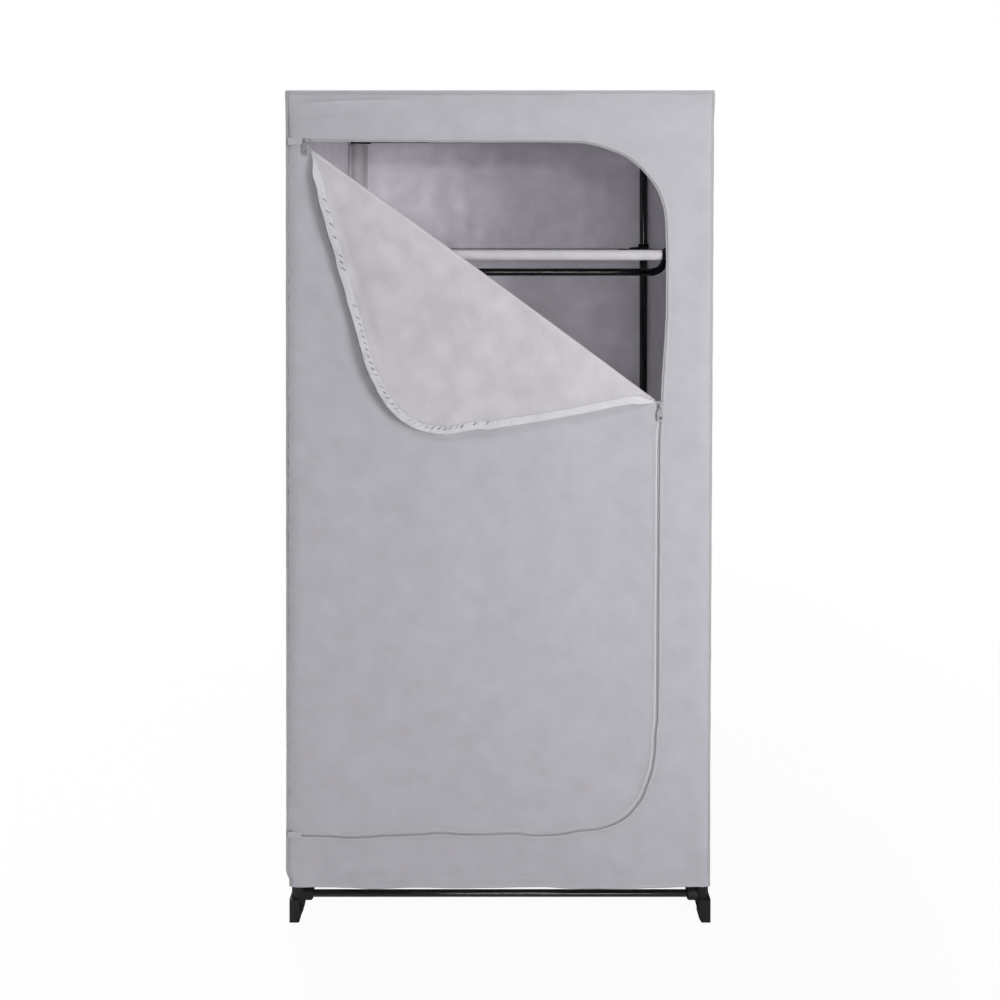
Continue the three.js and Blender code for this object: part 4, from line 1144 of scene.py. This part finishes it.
class WARDROBE_OT_zip(WardrobeOperator, bpy.types.Operator):
    """Zip tapes, coils, stitches and end tabs"""

    bl_idname = "wardrobe.zip"
    bl_label = "Zip"

    def execute(self, context):
        line, inward = zip_line(3.0)
        section = [(-0.8, -1.7), (-0.8, -2.4), (-16, -1.7), (-16, -1.0)]
        tape = ribbon("zip_tape_cover_woven", front_frame, line, inward, section, "tape")
        fasten(tape, "zip_tape", "zip_tape_cover")
        facing = [(3.0, -0.9), (3.1, 0.3), (3.9, 1.0), (5.2, 1.15), (6.8, 0.75), (9.6, 0.55), (9.6, 0.2)]
        outward = [(-across, out) for across, out in facing]
        fasten(ribbon("zip_facing_cover", front_frame, line, inward, outward, "outer"), "grey_fabric")
        own, own_in = door_line(1.5)
        run = run_along(own)
        fold_x, fold_z = 281, 930
        at_fold = run[int(np.argmin(np.hypot(own[:, 0] - fold_x, own[:, 1] - fold_z)))]
        # The door's tape narrows where it goes round the fold
        width = 1 - 0.62 * ease(60 - np.abs(run - at_fold), 0, 60)
        section = [(0.8, -0.8), (4.0, -0.75), (8.0, -0.75), (11.5, -0.75), (14.0, -0.8), (14.0, -1.3),
                   (11.5, -1.45), (8.0, -1.45), (4.0, -1.45), (0.8, -1.5)]
        tape = ribbon("zip_tape_door_woven", door_frame, own, own_in, section, "tape", width, tape_pucker)
        bend_with_corner(tape, "zip_tape", "zip_tape_door", "zip_tape_flap")
        facing = facing[:0:-1] + [(3.0, -0.7)]
        lip = ribbon("zip_facing_door", door_frame, own, own_in, facing, "outer", width)
        bend_with_corner(lip, "grey_fabric")
        # The coil lies deep between the facings where the zip is closed, and level with them where it is open; the
        # closed rows wear the darker coil colour as painted shade of the groove, and the open rows the tape's lighter
        # colour.
        closed = zip_run(line[:, 0], line[:, 1])[0] < CLOSED_RUN
        for place, keep, depth, finish in (("closed", closed, -2.0, "coil"), ("open", ~closed, -0.5, "tape")):
            row = (f"zip_coil_cover_{place}", front_frame, line[keep], inward[keep], (-2.9, 0.3), depth, finish)
            fasten(teeth(*row), "zip_tape")
        # On the door too, the closed rows below the fold wear the painted groove shade, and the open rows take the
        # tape's colour.
        lower = run < at_fold
        for place, keep, depth, finish in (("closed", lower, -1.9, "coil"), ("open", ~lower, -1.0, "tape")):
            row = (f"zip_coil_door_{place}", door_frame, own[keep], own_in[keep], (-0.3, 2.9), depth, finish, 0.5)
            bend_with_corner(teeth(*row), "zip_tape")
        self.tuck_shadows(own, own_in)
        bend_with_corner(stitches("zip_stitches_door", own, own_in), "zip_tape")
        self.tab("top", 4.2, -1.0)
        self.tab("bottom", 3.0, -2.4)
        return {"FINISHED"}

    def tuck_shadows(self, own, own_in):
        """Small slanted bars where the tape bunches round the folded corner, dark with painted shade of its tucks."""
        rng = np.random.default_rng(SEED)
        place, side = evenly(own, own_in, 11.5)
        keep = puckered_flap(place[:, 0], place[:, 1]) > rng.uniform(0.25, 0.5, len(place))
        place, side = place[keep], side[keep]
        along = np.stack([side[:, 1], -side[:, 0]], axis=1)
        slant = rng.uniform(0.75, 1.15, len(place))[:, None]
        near, far = place + side * 8.0, place + side * 12.8 - along * slant * 7.5
        middle = (near + far) / 2
        here, normal = door_frame(middle[:, 0], middle[:, 1])
        way = unit(door_place(far[:, 0], far[:, 1]) - door_place(near[:, 0], near[:, 1]))
        size = (8.5, 1.9, 3.2)
        # The bars' dark colour is painted shade inside the tucks.
        bars = grains("zip_tape_painted_tuck_shadow_bars", here - normal * 1.3, way, -normal, size, finishes["tacking"])
        bend_with_corner(bars, "zip_tape")

    def tab(self, end, longer, drop):
        """A cloth tab over the zip's end, sewn round its edge."""
        lo, hi = low(f"zip_tab_{end}"), high(f"zip_tab_{end}")
        hi[0] += longer
        x, z = np.meshgrid(steps(lo[0], hi[0], 1.5), steps(lo[2], hi[2], 1.5), indexing="ij")
        rim = np.minimum(np.minimum(x - lo[0], hi[0] - x), np.minimum(z - lo[2], hi[2] - z))
        sewn = 0.45 * (1 - ease(rim, 0, 1.6)) + 0.3 * np.exp(-(((rim - 2.2) / 0.5) ** 2))
        y = (lo[1] + hi[1]) / 2 - 0.15 + sewn
        tab = sheet(f"zip_tab_{end}_cloth", (x, y, z + drop), (x, z), True, [finishes["outer"]] * 2, 0.5)
        fasten(tab, "seam_binding", f"zip_tab_{end}")


class WARDROBE_OT_shelf(WardrobeOperator, bpy.types.Operator):
    """The cloth shelf: sleeves round both tubes and a sagging sheet between them"""

    bl_idname = "wardrobe.shelf"
    bl_label = "Shelf cloth"

    def execute(self, context):
        lo, hi = low("shelf_cloth"), high("shelf_cloth")
        near_y, axis_z = ((low("shelf_rail_front") + high("shelf_rail_front")) / 2)[1:]
        far_y = (low("shelf_rail_rear")[1] + high("shelf_rail_rear")[1]) / 2
        radius, droop, sag = 7.95, 2.0, 9.0
        section = []
        for cos, sin in self.turns(20, -270):
            section.append((near_y + radius * cos, axis_z + radius * sin - droop * max(0.0, -sin)))
        for y in steps(near_y, far_y, 12)[1:-1]:
            share = 2 * (y - near_y) / (far_y - near_y) - 1
            section.append((y, axis_z + radius - sag * (1 - share * share)))
        for cos, sin in self.turns(90, -200):
            section.append((far_y + radius * cos, axis_z + radius * sin))
        section = np.array(section)
        run = run_along(section)
        x, k = np.meshgrid(steps(lo[0], hi[0], 6), np.arange(len(section)), indexing="ij")
        y, z = section[k, 0], section[k, 1]
        share = np.clip((y - near_y) / (far_y - near_y), 0, 1)
        open_span = np.sin(math.pi * share) * (z > axis_z - 4)
        soft = 0.9 * waves(x, y, 41, 120) + 1.0 * waves(x * 1.6, y * 0.5, 42, 110) - 0.8
        z = z + slackness() * open_span * soft
        y = y - 0.22 * waves(x, run[k], 43, 60) * (1 - share)
        made = sheet("shelf_cloth_sheet", (x, y, z), (x, run[k]), True, [finishes["inner"]] * 2, 0.9)
        fasten(made, "lining_fabric", "shelf_cloth")
        return {"FINISHED"}

    def turns(self, start, end):
        """Cosines and sines round a sleeve, from one angle in degrees to another."""
        return [(math.cos(angle), math.sin(angle)) for angle in np.radians(np.linspace(start, end, 27))]


class WARDROBE_OT_sliders(WardrobeOperator, bpy.types.Operator):
    """Zip sliders and their pulls: softened die-cast edges"""

    bl_idname = "wardrobe.sliders"
    bl_label = "Sliders and pulls"

    def execute(self, context):
        for name in ("side_slider", "side_pull", "top_slider", "top_pull"):
            soften(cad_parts[name], 0.22, "slider")
        return {"FINISHED"}


class WARDROBE_PT_panel(bpy.types.Panel):
    """Settings and steps of the wardrobe"""

    bl_idname = "WARDROBE_PT_panel"
    bl_label = "Wardrobe"
    bl_space_type = "VIEW_3D"
    bl_region_type = "UI"
    bl_category = "Wardrobe"

    def draw(self, context):
        layout = self.layout
        for group in (context.scene.wardrobe_cloth, context.scene.wardrobe_frame):
            for name in group.__annotations__:
                layout.prop(group, name)
        for operator in OPERATORS:
            layout.operator(operator.bl_idname)


OPERATORS = (WARDROBE_OT_stage, WARDROBE_OT_tubes, WARDROBE_OT_mouldings, WARDROBE_OT_cover,
             WARDROBE_OT_door, WARDROBE_OT_zip, WARDROBE_OT_shelf, WARDROBE_OT_sliders)
CLASSES = (WardrobeCloth, WardrobeFrame, *OPERATORS, WARDROBE_PT_panel)


def register():
    for made in CLASSES:
        bpy.utils.register_class(made)
    bpy.types.Scene.wardrobe_cloth = bpy.props.PointerProperty(type=WardrobeCloth)
    bpy.types.Scene.wardrobe_frame = bpy.props.PointerProperty(type=WardrobeFrame)


def unregister():
    del bpy.types.Scene.wardrobe_frame
    del bpy.types.Scene.wardrobe_cloth
    for made in reversed(CLASSES):
        bpy.utils.unregister_class(made)


def main():
    register()
    bpy.ops.wardrobe.stage()
    bpy.ops.wardrobe.tubes()
    bpy.ops.wardrobe.mouldings()
    bpy.ops.wardrobe.cover()
    bpy.ops.wardrobe.door()
    bpy.ops.wardrobe.zip()
    bpy.ops.wardrobe.shelf()
    bpy.ops.wardrobe.sliders()


if __name__ == "__main__":
    main()
